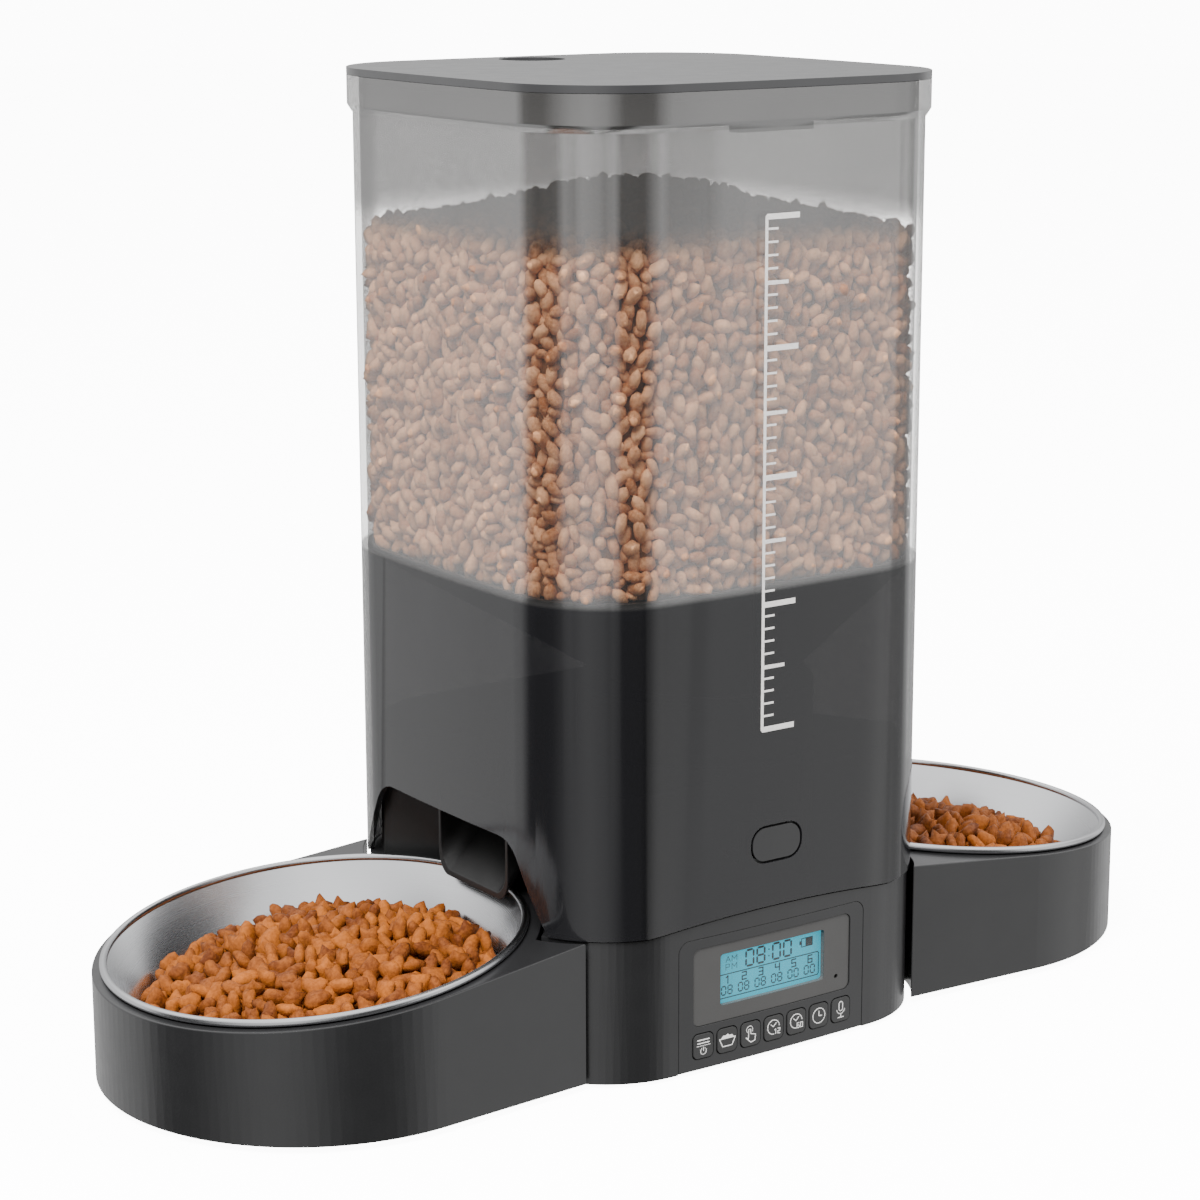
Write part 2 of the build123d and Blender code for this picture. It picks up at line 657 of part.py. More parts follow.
def fascia_panel():
    """Smooth front panel with the window for the bezel and seven key holes."""
    panel = front_band(FASCIA_HALF + 2, FASCIA_BOTTOM_Z, FASCIA_TOP_Z + 2, BASE_HALF, BASE_HALF - 2.2)
    panel &= fascia_window(0)
    bezel_tall = BEZEL_TOP_Z - BEZEL_BOTTOM_Z + 0.2
    opening = RectangleRounded(2 * BEZEL_HALF + 0.2, bezel_tall, BEZEL_CORNER + 0.1)
    panel -= front_prism(opening, (BEZEL_TOP_Z + BEZEL_BOTTOM_Z) / 2, -BASE_HALF - 5, -BASE_HALF + 12)
    key_hole = RectangleRounded(KEY_WIDE + 0.6, KEY_TALL + 0.6, KEY_CORNER + 0.3)
    for index in range(7):
        hole = front_prism(key_hole, KEY_Z, -BASE_HALF - 5, -BASE_HALF + 12)
        panel -= Pos((index - 3) * KEY_PITCH, 0, 0) * hole
    return panel


def display_bezel():
    """Inset panel around the display, with the microphone hole."""
    face = RectangleRounded(2 * BEZEL_HALF, BEZEL_TOP_Z - BEZEL_BOTTOM_Z, BEZEL_CORNER)
    middle = (BEZEL_TOP_Z + BEZEL_BOTTOM_Z) / 2
    frame = front_band(FASCIA_HALF, FASCIA_BOTTOM_Z, FASCIA_TOP_Z, BASE_HALF - 0.4, BASE_HALF - 2.2)
    frame &= front_prism(face, middle, -BASE_HALF - 5, -BASE_HALF + 12)
    hole = RectangleRounded(2 * LCD_HALF, LCD_TOP_Z - LCD_BOTTOM_Z, 1.2)
    frame -= front_prism(hole, (LCD_TOP_Z + LCD_BOTTOM_Z) / 2, -BASE_HALF - 5, -BASE_HALF + 12)
    frame -= Pos(MIC_X, -BASE_HALF, MIC_Z) * Rot(90, 0, 0) * Cylinder(0.8, 12)
    return frame


def display_window():
    """Clear pane over the display."""
    face = RectangleRounded(2 * LCD_HALF - 0.1, LCD_TOP_Z - LCD_BOTTOM_Z - 0.1, 1.15)
    pane = front_band(FASCIA_HALF, FASCIA_BOTTOM_Z, FASCIA_TOP_Z, BASE_HALF - 0.7, BASE_HALF - 1.9)
    return pane & front_prism(face, (LCD_TOP_Z + LCD_BOTTOM_Z) / 2, -BASE_HALF - 5, -BASE_HALF + 12)


def lcd_module():
    """Liquid crystal cell with its light guide behind the window."""
    y = -BASE_HALF + 2.7
    return box(-LCD_HALF - 2, LCD_HALF + 2, y, y + 3.2, LCD_BOTTOM_Z - 2, LCD_TOP_Z + 2)


def control_board():
    """Printed circuit board behind the display and the keys."""
    return box(-36, 36, BOARD_Y, BOARD_Y + 1.6, 5, 44)


def key_switches():
    """Seven small switches on the board, one behind each key."""
    switches = []
    for index in range(7):
        x = (index - 3) * KEY_PITCH
        switch = box(x - 3, x + 3, BOARD_Y - 3.4, BOARD_Y, KEY_Z - 3, KEY_Z + 3)
        plunger = Pos(x, BOARD_Y - 3.9, KEY_Z) * Rot(90, 0, 0) * Cylinder(1.7, 1.0)
        switches.append(switch + plunger)
    return Compound(children=switches)


def board_chips():
    """The controller and the driver on the back of the board."""
    y = BOARD_Y + 1.62
    return Compound(children=[
        box(-8, 8, y, y + 1.6, 22, 34),
        box(16, 26, y, y + 1.8, 26, 34),
        box(-28, -18, y, y + 4.0, 12, 20),
    ])


def key(index):
    """One square key with a collar that keeps it in the fascia."""
    face = RectangleRounded(KEY_WIDE, KEY_TALL, KEY_CORNER)
    x = (index - 3) * KEY_PITCH
    cap = Pos(x, 0, 0) * front_prism(face, KEY_Z, -BASE_HALF - 5, -BASE_HALF + 5)
    cap &= front_band(FASCIA_HALF, 0, 30, BASE_HALF + 0.3, BASE_HALF - 3.3)
    collar_low = -BASE_HALF + 2.9
    collar = box(x - 4.6, x + 4.6, collar_low, collar_low + 1.0, KEY_Z - 4.9, KEY_Z + 4.9)
    stem_end = BOARD_Y - 5.4
    stem = Pos(x, (collar_low + stem_end) / 2, KEY_Z) * Rot(90, 0, 0) * Cylinder(1.8, stem_end - collar_low)
    return cap + collar + stem


def microphone():
    """Round capsule behind its hole in the bezel."""
    return Pos(MIC_X, -BASE_HALF + 4.6, MIC_Z) * Rot(90, 0, 0) * Cylinder(2.4, 3.4)


def speaker():
    """Small round loudspeaker that faces the rear slots."""
    return Pos(SPEAKER_X, 56, 24) * Rot(90, 0, 0) * (Cylinder(9, 5) + Pos(0, 0, 3.4) * Cylinder(5.5, 2.4))


def usb_inlet():
    """Five volt inlet in the rear wall."""
    shell_face = RectangleRounded(9.0, 3.3, 1.6)
    hole_face = RectangleRounded(8.3, 2.6, 1.25)
    shell = front_prism(shell_face, USB_Z, BASE_HALF - 8, BASE_HALF - 0.6)
    shell -= front_prism(hole_face, USB_Z, BASE_HALF - 7, BASE_HALF + 1)
    tongue = box(-3.3, 3.3, BASE_HALF - 7.5, BASE_HALF - 2.6, USB_Z - 0.35, USB_Z + 0.35)
    board = box(-8, 8, BASE_HALF - 11, BASE_HALF - 2.6, USB_Z - 3.4, USB_Z - 1.66)
    return shell + tongue + board


# ---------------------------------------------------------------- drive

def gear(teeth, low, bore):
    """Straight toothed wheel with slightly thinned teeth."""
    pitch_r = GEAR_MODULE * teeth / 2
    root_r = pitch_r - 1.2 * GEAR_MODULE
    tip_r = pitch_r + 0.85 * GEAR_MODULE
    wheel = disc(root_r, low, low + GEAR_FACE)
    root_half = 0.62 * math.pi * GEAR_MODULE / 2 * 0.92
    tip_half = 0.30 * math.pi * GEAR_MODULE / 2 * 0.92
    tooth_line = Polyline(
        (root_r - 0.4, -root_half),
        (tip_r, -tip_half),
        (tip_r, tip_half),
        (root_r - 0.4, root_half),
        close=True,
    )
    tooth = extrude(Pos(0, 0, low) * make_face(tooth_line), GEAR_FACE)
    for index in range(teeth):
        wheel += Rot(0, 0, 360 / teeth * index) * tooth
    if bore:
        wheel -= disc(bore, low - 1, low + GEAR_FACE + 1)
    return wheel


def polar(radius, angle):
    """Offset in plan at a distance and an angle."""
    return radius * math.cos(math.radians(angle)), radius * math.sin(math.radians(angle))


def gear_centres():
    """Plan positions of the output, reduction and pinion axes."""
    output = (0.0, ROTOR_Y)
    dx, dy = polar(GEAR_MODULE * (OUTPUT_TEETH + REDUCTION_TEETH) / 2, REDUCTION_ANGLE)
    reduction = (output[0] + dx, output[1] + dy)
    dx, dy = polar(GEAR_MODULE * (REDUCTION_TEETH + PINION_TEETH) / 2, PINION_ANGLE)
    pinion = (reduction[0] + dx, reduction[1] + dy)
    return output, reduction, pinion


def mesh_turn(teeth, follower_angle, other_teeth, other_turn):
    """Turn that puts a tooth gap of one wheel opposite a tooth of the other."""
    other_pitch = 360 / other_teeth
    phase = ((follower_angle - other_turn) % other_pitch) / other_pitch
    return follower_angle + 180 + (phase + 0.5) * 360 / teeth


def place_gears():
    """The three wheels in mesh at rest."""
    output, reduction, pinion = gear_centres()
    turn_output = 0.0
    turn_reduction = mesh_turn(REDUCTION_TEETH, REDUCTION_ANGLE, OUTPUT_TEETH, turn_output)
    turn_pinion = mesh_turn(PINION_TEETH, PINION_ANGLE, REDUCTION_TEETH, turn_reduction)
    out = Pos(*output, 0) * Rot(0, 0, turn_output) * gear(OUTPUT_TEETH, GEAR_Z, 0)
    red = Pos(*reduction, 0) * Rot(0, 0, turn_reduction) * gear(REDUCTION_TEETH, GEAR_Z, 2.0)
    pin = Pos(*pinion, 0) * Rot(0, 0, turn_pinion) * gear(PINION_TEETH, GEAR_Z, 1.0)
    return out, red, pin


def output_gear(blank):
    """Output wheel with the drive dog that reaches up through the deck."""
    blank += disc(SOCKET_R, GEAR_Z, DECK_Z - 0.4, 0, ROTOR_Y)
    blank += box(-DOG_R, DOG_R, ROTOR_Y - 0.9, ROTOR_Y + 0.9, DECK_Z - 1, METER_BOTTOM_Z - 0.9)
    blank += disc(2.0, GEAR_Z - 3, GEAR_Z + 1, 0, ROTOR_Y)
    return blank


def gear_plate():
    """Plate under the gears with their pins."""
    output, reduction, pinion = gear_centres()
    plate = box(-46, 12, -64, CHUTE_PLATE_Y, GEAR_Z - 3.4, GEAR_Z - 1.0)
    plate -= disc(2.06, GEAR_Z - 5, GEAR_Z, *output)
    plate += disc(1.94, GEAR_Z - 2, GEAR_Z + GEAR_FACE + 1, *reduction)
    plate -= disc(2.4, GEAR_Z - 5, GEAR_Z, *pinion)
    return plate


def gear_motor():
    """Upright motor can with its gear head and shaft."""
    x, y = gear_centres()[2]
    body = disc(12, 44, 72, x, y) + disc(10.5, 72, GEAR_Z - 3.5, x, y)
    body += disc(5, 42, 44, x, y)
    return body


def motor_pinion(blank):
    """Pinion on its shaft."""
    x, y = gear_centres()[2]
    return blank + disc(1.0, GEAR_Z - 3.3, GEAR_Z + GEAR_FACE + 0.5, x, y)


# ---------------------------------------------------------------- bowls

def tilt_at(side, z):
    """Location at a bowl's axis, leaning outwards, at a height."""
    return Pos(side * BOWL_X, 0, z) * Rot(0, side * BOWL_TILT, 0)


def bowl(side):
    """Spun sheet bowl with a rolled rim and a flat foot."""
    bottom = -BOWL_DEPTH
    outer_r = BOWL_R - RIM_BEAD_R
    lines = Polyline(
        (0, bottom),
        (BOWL_FOOT_R - 4, bottom),
        (BOWL_FOOT_R, bottom + 3),
        (outer_r, -RIM_BEAD_R / 2),
        (outer_r - BOWL_SHEET, -RIM_BEAD_R / 2),
        (BOWL_FOOT_R - BOWL_SHEET, bottom + 3 + BOWL_SHEET / 2),
        (BOWL_FOOT_R - 4 - BOWL_SHEET / 2, bottom + BOWL_SHEET),
        (0, bottom + BOWL_SHEET),
        close=True,
    )
    dish = revolve(Plane.XZ * make_face(lines), Axis.Z)
    bead = Torus(outer_r, RIM_BEAD_R)
    return tilt_at(side, BOWL_RIM_Z) * (dish + bead)


def holder_plan(side, inset, low, high):
    """Plan of the holder: a disc, two tangent sides that end along the tower, and a round tongue."""
    body = disc(HOLDER_R - inset, low, high, side * BOWL_X)
    corner_x = BOWL_X - HOLDER_END_X - inset
    corner_y = HOLDER_HALF_Y - inset
    lean = math.degrees(math.atan2(corner_x, corner_y))
    reach = math.degrees(math.acos((HOLDER_R - inset) / math.hypot(corner_x, corner_y)))
    touch_x, touch_y = polar(HOLDER_R - inset, 90 + lean - reach)
    block = Polyline(
        (-corner_x, -corner_y),
        (touch_x, -touch_y),
        (touch_x, touch_y),
        (-corner_x, corner_y),
        close=True,
    )
    side_block = extrude(Pos(BOWL_X, 0, low) * make_face(block), high - low)
    if side < 0:
        side_block = mirror(side_block, Plane.YZ)
    away = HOLDER_TOWER_GAP + inset
    plan = body + side_block - prism(BASE_HALF + away, BASE_CORNER + away, low - 1, high + 1)
    tongue = disc(HOLDER_TONGUE_R - inset, low, high, side * BOWL_X)
    x0, x1 = sorted((0, side * HOLDER_TONGUE_X))
    tongue &= box(x0, x1, -HOLDER_R, HOLDER_R, low, high)
    return plan + tongue


def holder(side):
    """Hollow tray on the floor that carries the bowl on its leaning top."""
    high = 70
    tray = holder_plan(side, 0, HOLDER_BOTTOM_Z, high)
    hollow = holder_plan(side, HOLDER_WALL, HOLDER_BOTTOM_Z + HOLDER_WALL, high)
    hollow -= tilt_at(side, BOWL_RIM_Z - HOLDER_DROP - HOLDER_DECK) * Pos(0, 0, 100) * Box(400, 400, 200)
    tray -= hollow
    tray -= tilt_at(side, BOWL_RIM_Z - HOLDER_DROP) * Pos(0, 0, 100) * Box(400, 400, 200)
    tray -= tilt_at(side, BOWL_RIM_Z - HOLDER_DROP) * Cylinder(BOWL_R - HOLDER_LEDGE, 12)
    return tray


def holder_feet(side):
    """Four rubber feet under a holder."""
    feet = []
    for angle in (40, 140, 220, 320):
        dx, dy = polar(HOLDER_R - 14, angle)
        feet.append(disc(FOOT_R, 0, HOLDER_BOTTOM_Z - 0.02, side * BOWL_X + dx, dy))
    return Compound(children=feet)


PIECES = {}


def collect():
    """Build every piece under its name."""
    out, red, pin = place_gears()
    PIECES["tank_shell"] = tank_shell()
    PIECES["tank_funnel"] = tank_funnel()
    PIECES["meter_housing"] = meter_housing()
    PIECES["meter_cover"] = meter_cover()
    PIECES["rotor_wheel"] = rotor_wheel()
    PIECES["rotor_shaft"] = rotor_shaft()
    PIECES["agitator"] = agitator()
    PIECES["release_button"] = release_button()
    PIECES["release_spring"] = release_spring()
    PIECES["latch_catch"] = latch_catch()
    PIECES["lid_panel"] = lid_panel()
    PIECES["lid_seal"] = lid_seal()
    PIECES["desiccant_box"] = desiccant_box()
    PIECES["desiccant_cover"] = desiccant_cover()
    PIECES["desiccant_sachet"] = desiccant_sachet()
    PIECES["base_housing"] = base_housing()
    PIECES["pedestal"] = pedestal()
    PIECES["chute_left"] = chute(-1)
    PIECES["chute_right"] = chute(1)
    PIECES["splitter"] = splitter()
    PIECES["bottom_plate"] = bottom_plate()
    PIECES["base_screws"] = base_screws()
    PIECES["base_feet"] = base_feet()
    PIECES["battery_tray"] = battery_tray()
    PIECES["battery_cells"] = battery_cells()
    PIECES["battery_contacts"] = battery_contacts()
    PIECES["battery_door"] = battery_door()
    PIECES["fascia_panel"] = fascia_panel()
    PIECES["display_bezel"] = display_bezel()
    PIECES["display_window"] = display_window()
    PIECES["lcd_module"] = lcd_module()
    PIECES["control_board"] = control_board()
    PIECES["key_switches"] = key_switches()
    PIECES["board_chips"] = board_chips()
    for index, name in enumerate(KEY_NAMES):
        PIECES[name] = key(index)
    PIECES["microphone"] = microphone()
    PIECES["speaker"] = speaker()
    PIECES["usb_inlet"] = usb_inlet()
    PIECES["gear_plate"] = gear_plate()
    PIECES["gear_motor"] = gear_motor()
    PIECES["motor_pinion"] = motor_pinion(pin)
    PIECES["reduction_gear"] = red
    PIECES["output_gear"] = output_gear(out)
    for side, word in ((-1, "left"), (1, "right")):
        PIECES["bowl_" + word] = bowl(side)
        PIECES["bowl_holder_" + word] = holder(side)
        PIECES["holder_feet_" + word] = holder_feet(side)


collect()
os.makedirs("parts", exist_ok=True)
for node, shape in PIECES.items():
    export_step(shape, "parts/" + node + ".step")
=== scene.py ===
"""Looks of an automatic pet feeder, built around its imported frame.

Everything is in metres in the frame of the part: +Z up, +X from the left bowl to the right
bowl, and the display and keys face -Y.
"""

import json
import logging
import math
from dataclasses import dataclass, field
from enum import Enum
from typing import Callable, Iterable, Sequence

import bmesh
import bpy
import numpy as np
from mathutils import Matrix, Vector

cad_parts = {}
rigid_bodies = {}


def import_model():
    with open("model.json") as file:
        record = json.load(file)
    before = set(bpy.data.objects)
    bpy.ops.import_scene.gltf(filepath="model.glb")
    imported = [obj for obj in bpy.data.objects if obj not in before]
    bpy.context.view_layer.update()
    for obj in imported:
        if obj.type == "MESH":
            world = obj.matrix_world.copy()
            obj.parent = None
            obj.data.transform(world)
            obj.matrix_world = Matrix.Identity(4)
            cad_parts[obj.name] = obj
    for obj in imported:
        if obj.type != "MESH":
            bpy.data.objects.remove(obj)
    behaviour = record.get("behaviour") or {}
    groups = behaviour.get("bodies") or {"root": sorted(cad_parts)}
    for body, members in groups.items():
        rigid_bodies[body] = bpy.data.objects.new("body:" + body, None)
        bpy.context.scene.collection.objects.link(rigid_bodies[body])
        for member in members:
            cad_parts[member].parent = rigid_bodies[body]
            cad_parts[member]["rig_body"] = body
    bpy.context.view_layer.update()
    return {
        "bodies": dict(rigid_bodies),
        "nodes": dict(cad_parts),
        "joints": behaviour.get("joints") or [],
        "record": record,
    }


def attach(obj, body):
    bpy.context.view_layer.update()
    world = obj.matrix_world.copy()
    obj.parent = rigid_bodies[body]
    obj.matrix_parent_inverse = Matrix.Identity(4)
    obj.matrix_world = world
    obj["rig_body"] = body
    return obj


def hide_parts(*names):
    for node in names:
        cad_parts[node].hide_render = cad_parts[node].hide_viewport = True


LOG = logging.getLogger("pet_feeder")
MM = 0.001
Point = tuple[float, float]
Colour = tuple[float, float, float]
Vector3 = Sequence[float]
Paint = Vector3 | bpy.types.NodeSocket


# ------------------------------------------------------------------ shader building


class Value:
    """A number socket that can stand in a Python expression and adds its Math nodes."""

    def __init__(self, sheet: "Sheet", socket: bpy.types.NodeSocket) -> None:
        """Keep the material sheet and the socket.

        Args:
            sheet: The material being built.
            socket: The output socket that carries the number.
        """
        self.sheet = sheet
        self.socket = socket

    def operate(self, operation: str, *terms: "Value | float") -> "Value":
        """Add one Math node.

        Args:
            operation: The node's operation.
            terms: Its inputs in order.

        Returns:
            The node's result.
        """
        sockets = {index: term for index, term in enumerate(terms)}
        node = self.sheet.node("ShaderNodeMath", {"operation": operation}, sockets)
        return Value(self.sheet, node.outputs[0])

    def __add__(self, other: "Value | float") -> "Value":
        """Sum."""
        return self.operate("ADD", self, other)

    __radd__ = __add__

    def __sub__(self, other: "Value | float") -> "Value":
        """Difference."""
        return self.operate("SUBTRACT", self, other)

    def __rsub__(self, other: float) -> "Value":
        """Difference from a number."""
        return self.operate("SUBTRACT", other, self)

    def __mul__(self, other: "Value | float") -> "Value":
        """Product."""
        return self.operate("MULTIPLY", self, other)

    __rmul__ = __mul__

    def __truediv__(self, other: "Value | float") -> "Value":
        """Quotient."""
        return self.operate("DIVIDE", self, other)

    def __pow__(self, other: float) -> "Value":
        """Power."""
        return self.operate("POWER", self, other)

    def sine(self) -> "Value":
        """Sine of the value in radians."""
        return self.operate("SINE", self)

    def span(self, low: float, high: float, out_low: float = 0.0, out_high: float = 1.0) -> "Value":
        """Smoothly map a stretch of values to another, held at both ends.

        Args:
            low: Value that gives out_low.
            high: Value that gives out_high.
            out_low: Result at low.
            out_high: Result at high.

        Returns:
            The mapped value.
        """
        sockets = {"Value": self, "From Min": low, "From Max": high, "To Min": out_low, "To Max": out_high}
        node = self.sheet.node("ShaderNodeMapRange", {"interpolation_type": "SMOOTHSTEP"}, sockets)
        return Value(self.sheet, node.outputs["Result"])


class Sheet:
    """One material or world being built from nodes."""

    def __init__(self, name: str, tree: bpy.types.NodeTree | None = None) -> None:
        """Start an empty node tree.

        Args:
            name: The material's name.
            tree: A tree to fill, such as a world's; a new material when left out.
        """
        self.material = None
        if tree is None:
            self.material = bpy.data.materials.new(name)
            self.material.use_nodes = True
            tree = self.material.node_tree
        self.tree = tree
        self.tree.nodes.clear()

    def node(self, kind: str, settings: dict | None = None, sockets: dict | None = None) -> bpy.types.Node:
        """Add any node.

        Args:
            kind: The node's type.
            settings: Properties set first; "stops" fills a ramp.
            sockets: Input name or index to a number, a tuple, a Value or a socket.

        Returns:
            The new node.
        """
        node = self.tree.nodes.new(kind)
        for key, value in (settings or {}).items():
            if key == "stops":
                self._fill_ramp(node.color_ramp, value)
            else:
                setattr(node, key, value)
        for key, value in (sockets or {}).items():
            entry = node.inputs[key]
            if isinstance(value, Value):
                value = value.socket
            if isinstance(value, bpy.types.NodeSocket):
                self.tree.links.new(value, entry)
            else:
                entry.default_value = value
        return node

    @staticmethod
    def _fill_ramp(ramp: bpy.types.ColorRamp, stops: Sequence[tuple]) -> None:
        """Set a ramp's stops from (place, colour) pairs."""
        while len(ramp.elements) > 1:
            ramp.elements.remove(ramp.elements[0])
        ramp.elements[0].position = stops[0][0]
        ramp.elements[0].color = (*stops[0][1], 1.0)
        for place, colour in stops[1:]:
            ramp.elements.new(place).color = (*colour, 1.0)

    def place(self) -> bpy.types.NodeSocket:
        """Object coordinates, which are the part's own frame."""
        return self.node("ShaderNodeTexCoord").outputs["Object"]

    def split(self, vector: bpy.types.NodeSocket) -> tuple[Value, Value, Value]:
        """The three parts of a vector."""
        node = self.node("ShaderNodeSeparateXYZ", None, {0: vector})
        return tuple(Value(self, node.outputs[index]) for index in range(3))

    def moved(
        self, shift: Vector3, turn: Vector3 = (0, 0, 0), scale: Vector3 = (1, 1, 1)
    ) -> bpy.types.NodeSocket:
        """Object coordinates seen from a local frame.

        Args:
            shift: The local frame's origin.
            turn: Euler turn of the local frame, in radians.
            scale: Stretch applied after the turn.

        Returns:
            The mapped vector socket.
        """
        stretch = tuple(1.0 / value for value in scale)
        sockets = {"Vector": self.place(), "Location": shift, "Rotation": turn, "Scale": stretch}
        node = self.node("ShaderNodeMapping", {"vector_type": "TEXTURE"}, sockets)
        return node.outputs[0]

    def noise(self, scale: float, detail: float = 2.0, vector: bpy.types.NodeSocket | None = None) -> Value:
        """Fractal noise from 0 to 1.

        Args:
            scale: Features per metre.
            detail: Octaves.
            vector: Coordinates; object coordinates when left out.

        Returns:
            The noise value.
        """
        sockets = {"Vector": vector or self.place(), "Scale": scale, "Detail": detail}
        node = self.node("ShaderNodeTexNoise", None, sockets)
        return Value(self, node.outputs[0])

    def blend(self, share: Value | float, first: "Paint", second: "Paint") -> bpy.types.NodeSocket:
        """Mix two colours by a share from 0 to 1."""
        settings = {"data_type": "RGBA", "clamp_factor": True}
        node = self.node("ShaderNodeMix", settings)
        for index, value in ((0, share), (6, first), (7, second)):
            self._feed(node.inputs[index], value)
        return node.outputs[2]

    def _feed(self, entry: bpy.types.NodeSocket, value: "Value | Paint | float") -> None:
        """Link or set one input."""
        if isinstance(value, Value):
            value = value.socket
        if isinstance(value, bpy.types.NodeSocket):
            self.tree.links.new(value, entry)
        elif isinstance(value, (tuple, list)) and len(value) == 3:
            entry.default_value = (*value, 1.0)
        else:
            entry.default_value = value

    def bump(self, height: Value, depth: float, strength: float = 1.0) -> bpy.types.NodeSocket:
        """A normal from a height from 0 to 1 that stands for a depth in metres."""
        node = self.node("ShaderNodeBump", None, {"Strength": strength, "Distance": depth, "Height": height})
        return node.outputs[0]

    def surface(self, **sockets) -> bpy.types.Node:
        """The Principled shader, with its inputs given by name with underscores for spaces."""
        node = self.node("ShaderNodeBsdfPrincipled")
        for key, value in sockets.items():
            self._feed(node.inputs[key.replace("_", " ")], value)
        return node

    def finish(self, shader: bpy.types.Node) -> bpy.types.Material:
        """Connect the shader to the output and hand the material back."""
        self.node("ShaderNodeOutputMaterial", None, {"Surface": shader.outputs[0]})
        return self.material


# ------------------------------------------------------------------ finishes


@dataclass(frozen=True)
class Moulding:
    """Moulded plastic or rubber: fine grain, slight mottling, satin to gloss."""

    name: str
    colour: Colour
    roughness: float
    grain: float = 5200.0
    grain_depth: float = 0.012 * MM
    mottle: float = 0.12
    coat: float = 0.0
    coat_roughness: float = 0.1
    level: float = 0.5

    def material(self) -> bpy.types.Material:
        """Build the material."""
        sheet = Sheet(self.name)
        cloud = sheet.noise(38.0, 3.0)
        dark = tuple(part * (1 - self.mottle) for part in self.colour)
        light = tuple(part * (1 + self.mottle) for part in self.colour)
        grain = sheet.noise(self.grain, 2.0)
        shader = sheet.surface(
            Base_Color=sheet.blend(cloud, dark, light),
            Roughness=sheet.noise(130.0, 2.0).span(0.3, 0.7, self.roughness * 0.93, self.roughness * 1.07),
            Specular_IOR_Level=self.level,
            Coat_Weight=self.coat,
            Coat_Roughness=self.coat_roughness,
            Normal=sheet.bump(grain, self.grain_depth),
        )
        return sheet.finish(shader)


@dataclass(frozen=True)
class SmokePlastic:
    """Tinted clear plastic, with painted light and shade: near black and nearly opaque below the food (the
    black funnel behind, and painted shade), clearest beside it (painted light on the pellets), darker above
    it (painted shade under the lid), and darker at two corners (painted shade).
    """

    name: str
    tint: Colour
    haze: Colour
    low_share: float
    food_share: float
    high_share: float
    food_line: float
    crest_line: float
    shine: float = 0.17
    # Strength and reach of the painted shade at the two corners seen edge-on.
    corner_shade_share: float = 0.7
    corner_reach: tuple[float, float] = (0.0040, 0.0044)
    fade: float = 2 * MM

    def material(self) -> bpy.types.Material:
        """Build the material."""
        sheet = Sheet(self.name)
        across, along, height = sheet.split(sheet.place())
        # Painted light and shade by height. Below the food line the wall is near black and nearly opaque,
        # partly for the black funnel behind it and partly painted shade. Beside the food it is clearest,
        # painted light so the pellets behind look lit. Above the crest it darkens again, painted shade under
        # the lid.
        tone = height.span(self.food_line - self.fade, self.food_line)
        share = tone * (self.food_share - self.low_share) + self.low_share
        shade_above_food = height.span(self.crest_line, self.crest_line + 5 * self.fade)
        share = share + shade_above_food * (self.high_share - self.food_share)
        # Painted shade: the front right and back left corners, which stand edge-on to the view, turn darker
        # and nearly opaque.
        corner = (across * along * -1.0).span(*self.corner_reach, 0.0, self.corner_shade_share)
        share = share + (1.0 - share) * corner
        flow = sheet.noise(9.0, 2.0).span(0.25, 0.75, -0.01, 0.01)
        shader = sheet.surface(
            # Near black below the food line, partly painted shade; the haze colour above it.
            Base_Color=sheet.blend(tone, (0.008, 0.008, 0.009), self.haze),
            Roughness=sheet.noise(60.0, 2.0).span(0.3, 0.7, 0.09, 0.13),
            Specular_IOR_Level=0.5,
            Coat_Weight=0.35,
            Coat_Roughness=0.08,
            Normal=sheet.bump(sheet.noise(14.0, 1.0), 0.25 * MM, 0.25),
        )
        clear = sheet.node("ShaderNodeBsdfTransparent", None, {"Color": (*self.tint, 1.0)})
        tinted = {0: share + flow, 1: clear.outputs[0], 2: shader.outputs[0]}
        body = sheet.node("ShaderNodeMixShader", None, tinted)
        mirror = sheet.surface(Base_Color=(0.9, 0.9, 0.9), Metallic=1.0, Roughness=0.1)
        skin = {0: tone * self.shine, 1: body.outputs[0], 2: mirror.outputs[0]}
        return sheet.finish(sheet.node("ShaderNodeMixShader", None, skin))


@dataclass(frozen=True)
class SpunSteel:
    """Stainless sheet brushed in rings about a leaning axis."""

    name: str
    centre: Colour
    lean: float
    colour: Colour = (0.66, 0.665, 0.68)

    def material(self) -> bpy.types.Material:
        """Build the material."""
        sheet = Sheet(self.name)
        local = sheet.moved(self.centre, (0.0, self.lean, 0.0))
        across, along, height = sheet.split(local)
        reach = (across * across + along * along) ** 0.5
        line = sheet.node("ShaderNodeCombineXYZ", None, {0: reach, 1: height})
        rings = sheet.noise(2600.0, 3.0, line.outputs[0])
        broad = sheet.noise(160.0, 2.0, line.outputs[0])
        smudge = sheet.noise(30.0, 3.0)
        shader = sheet.surface(
            Base_Color=sheet.blend(smudge, tuple(part * 0.93 for part in self.colour), self.colour),
            Metallic=1.0,
            Roughness=(rings * 0.10) + (broad * 0.06) + (smudge * 0.04) + 0.16,
            Normal=sheet.bump(rings, 0.01 * MM, 0.6),
        )
        return sheet.finish(shader)


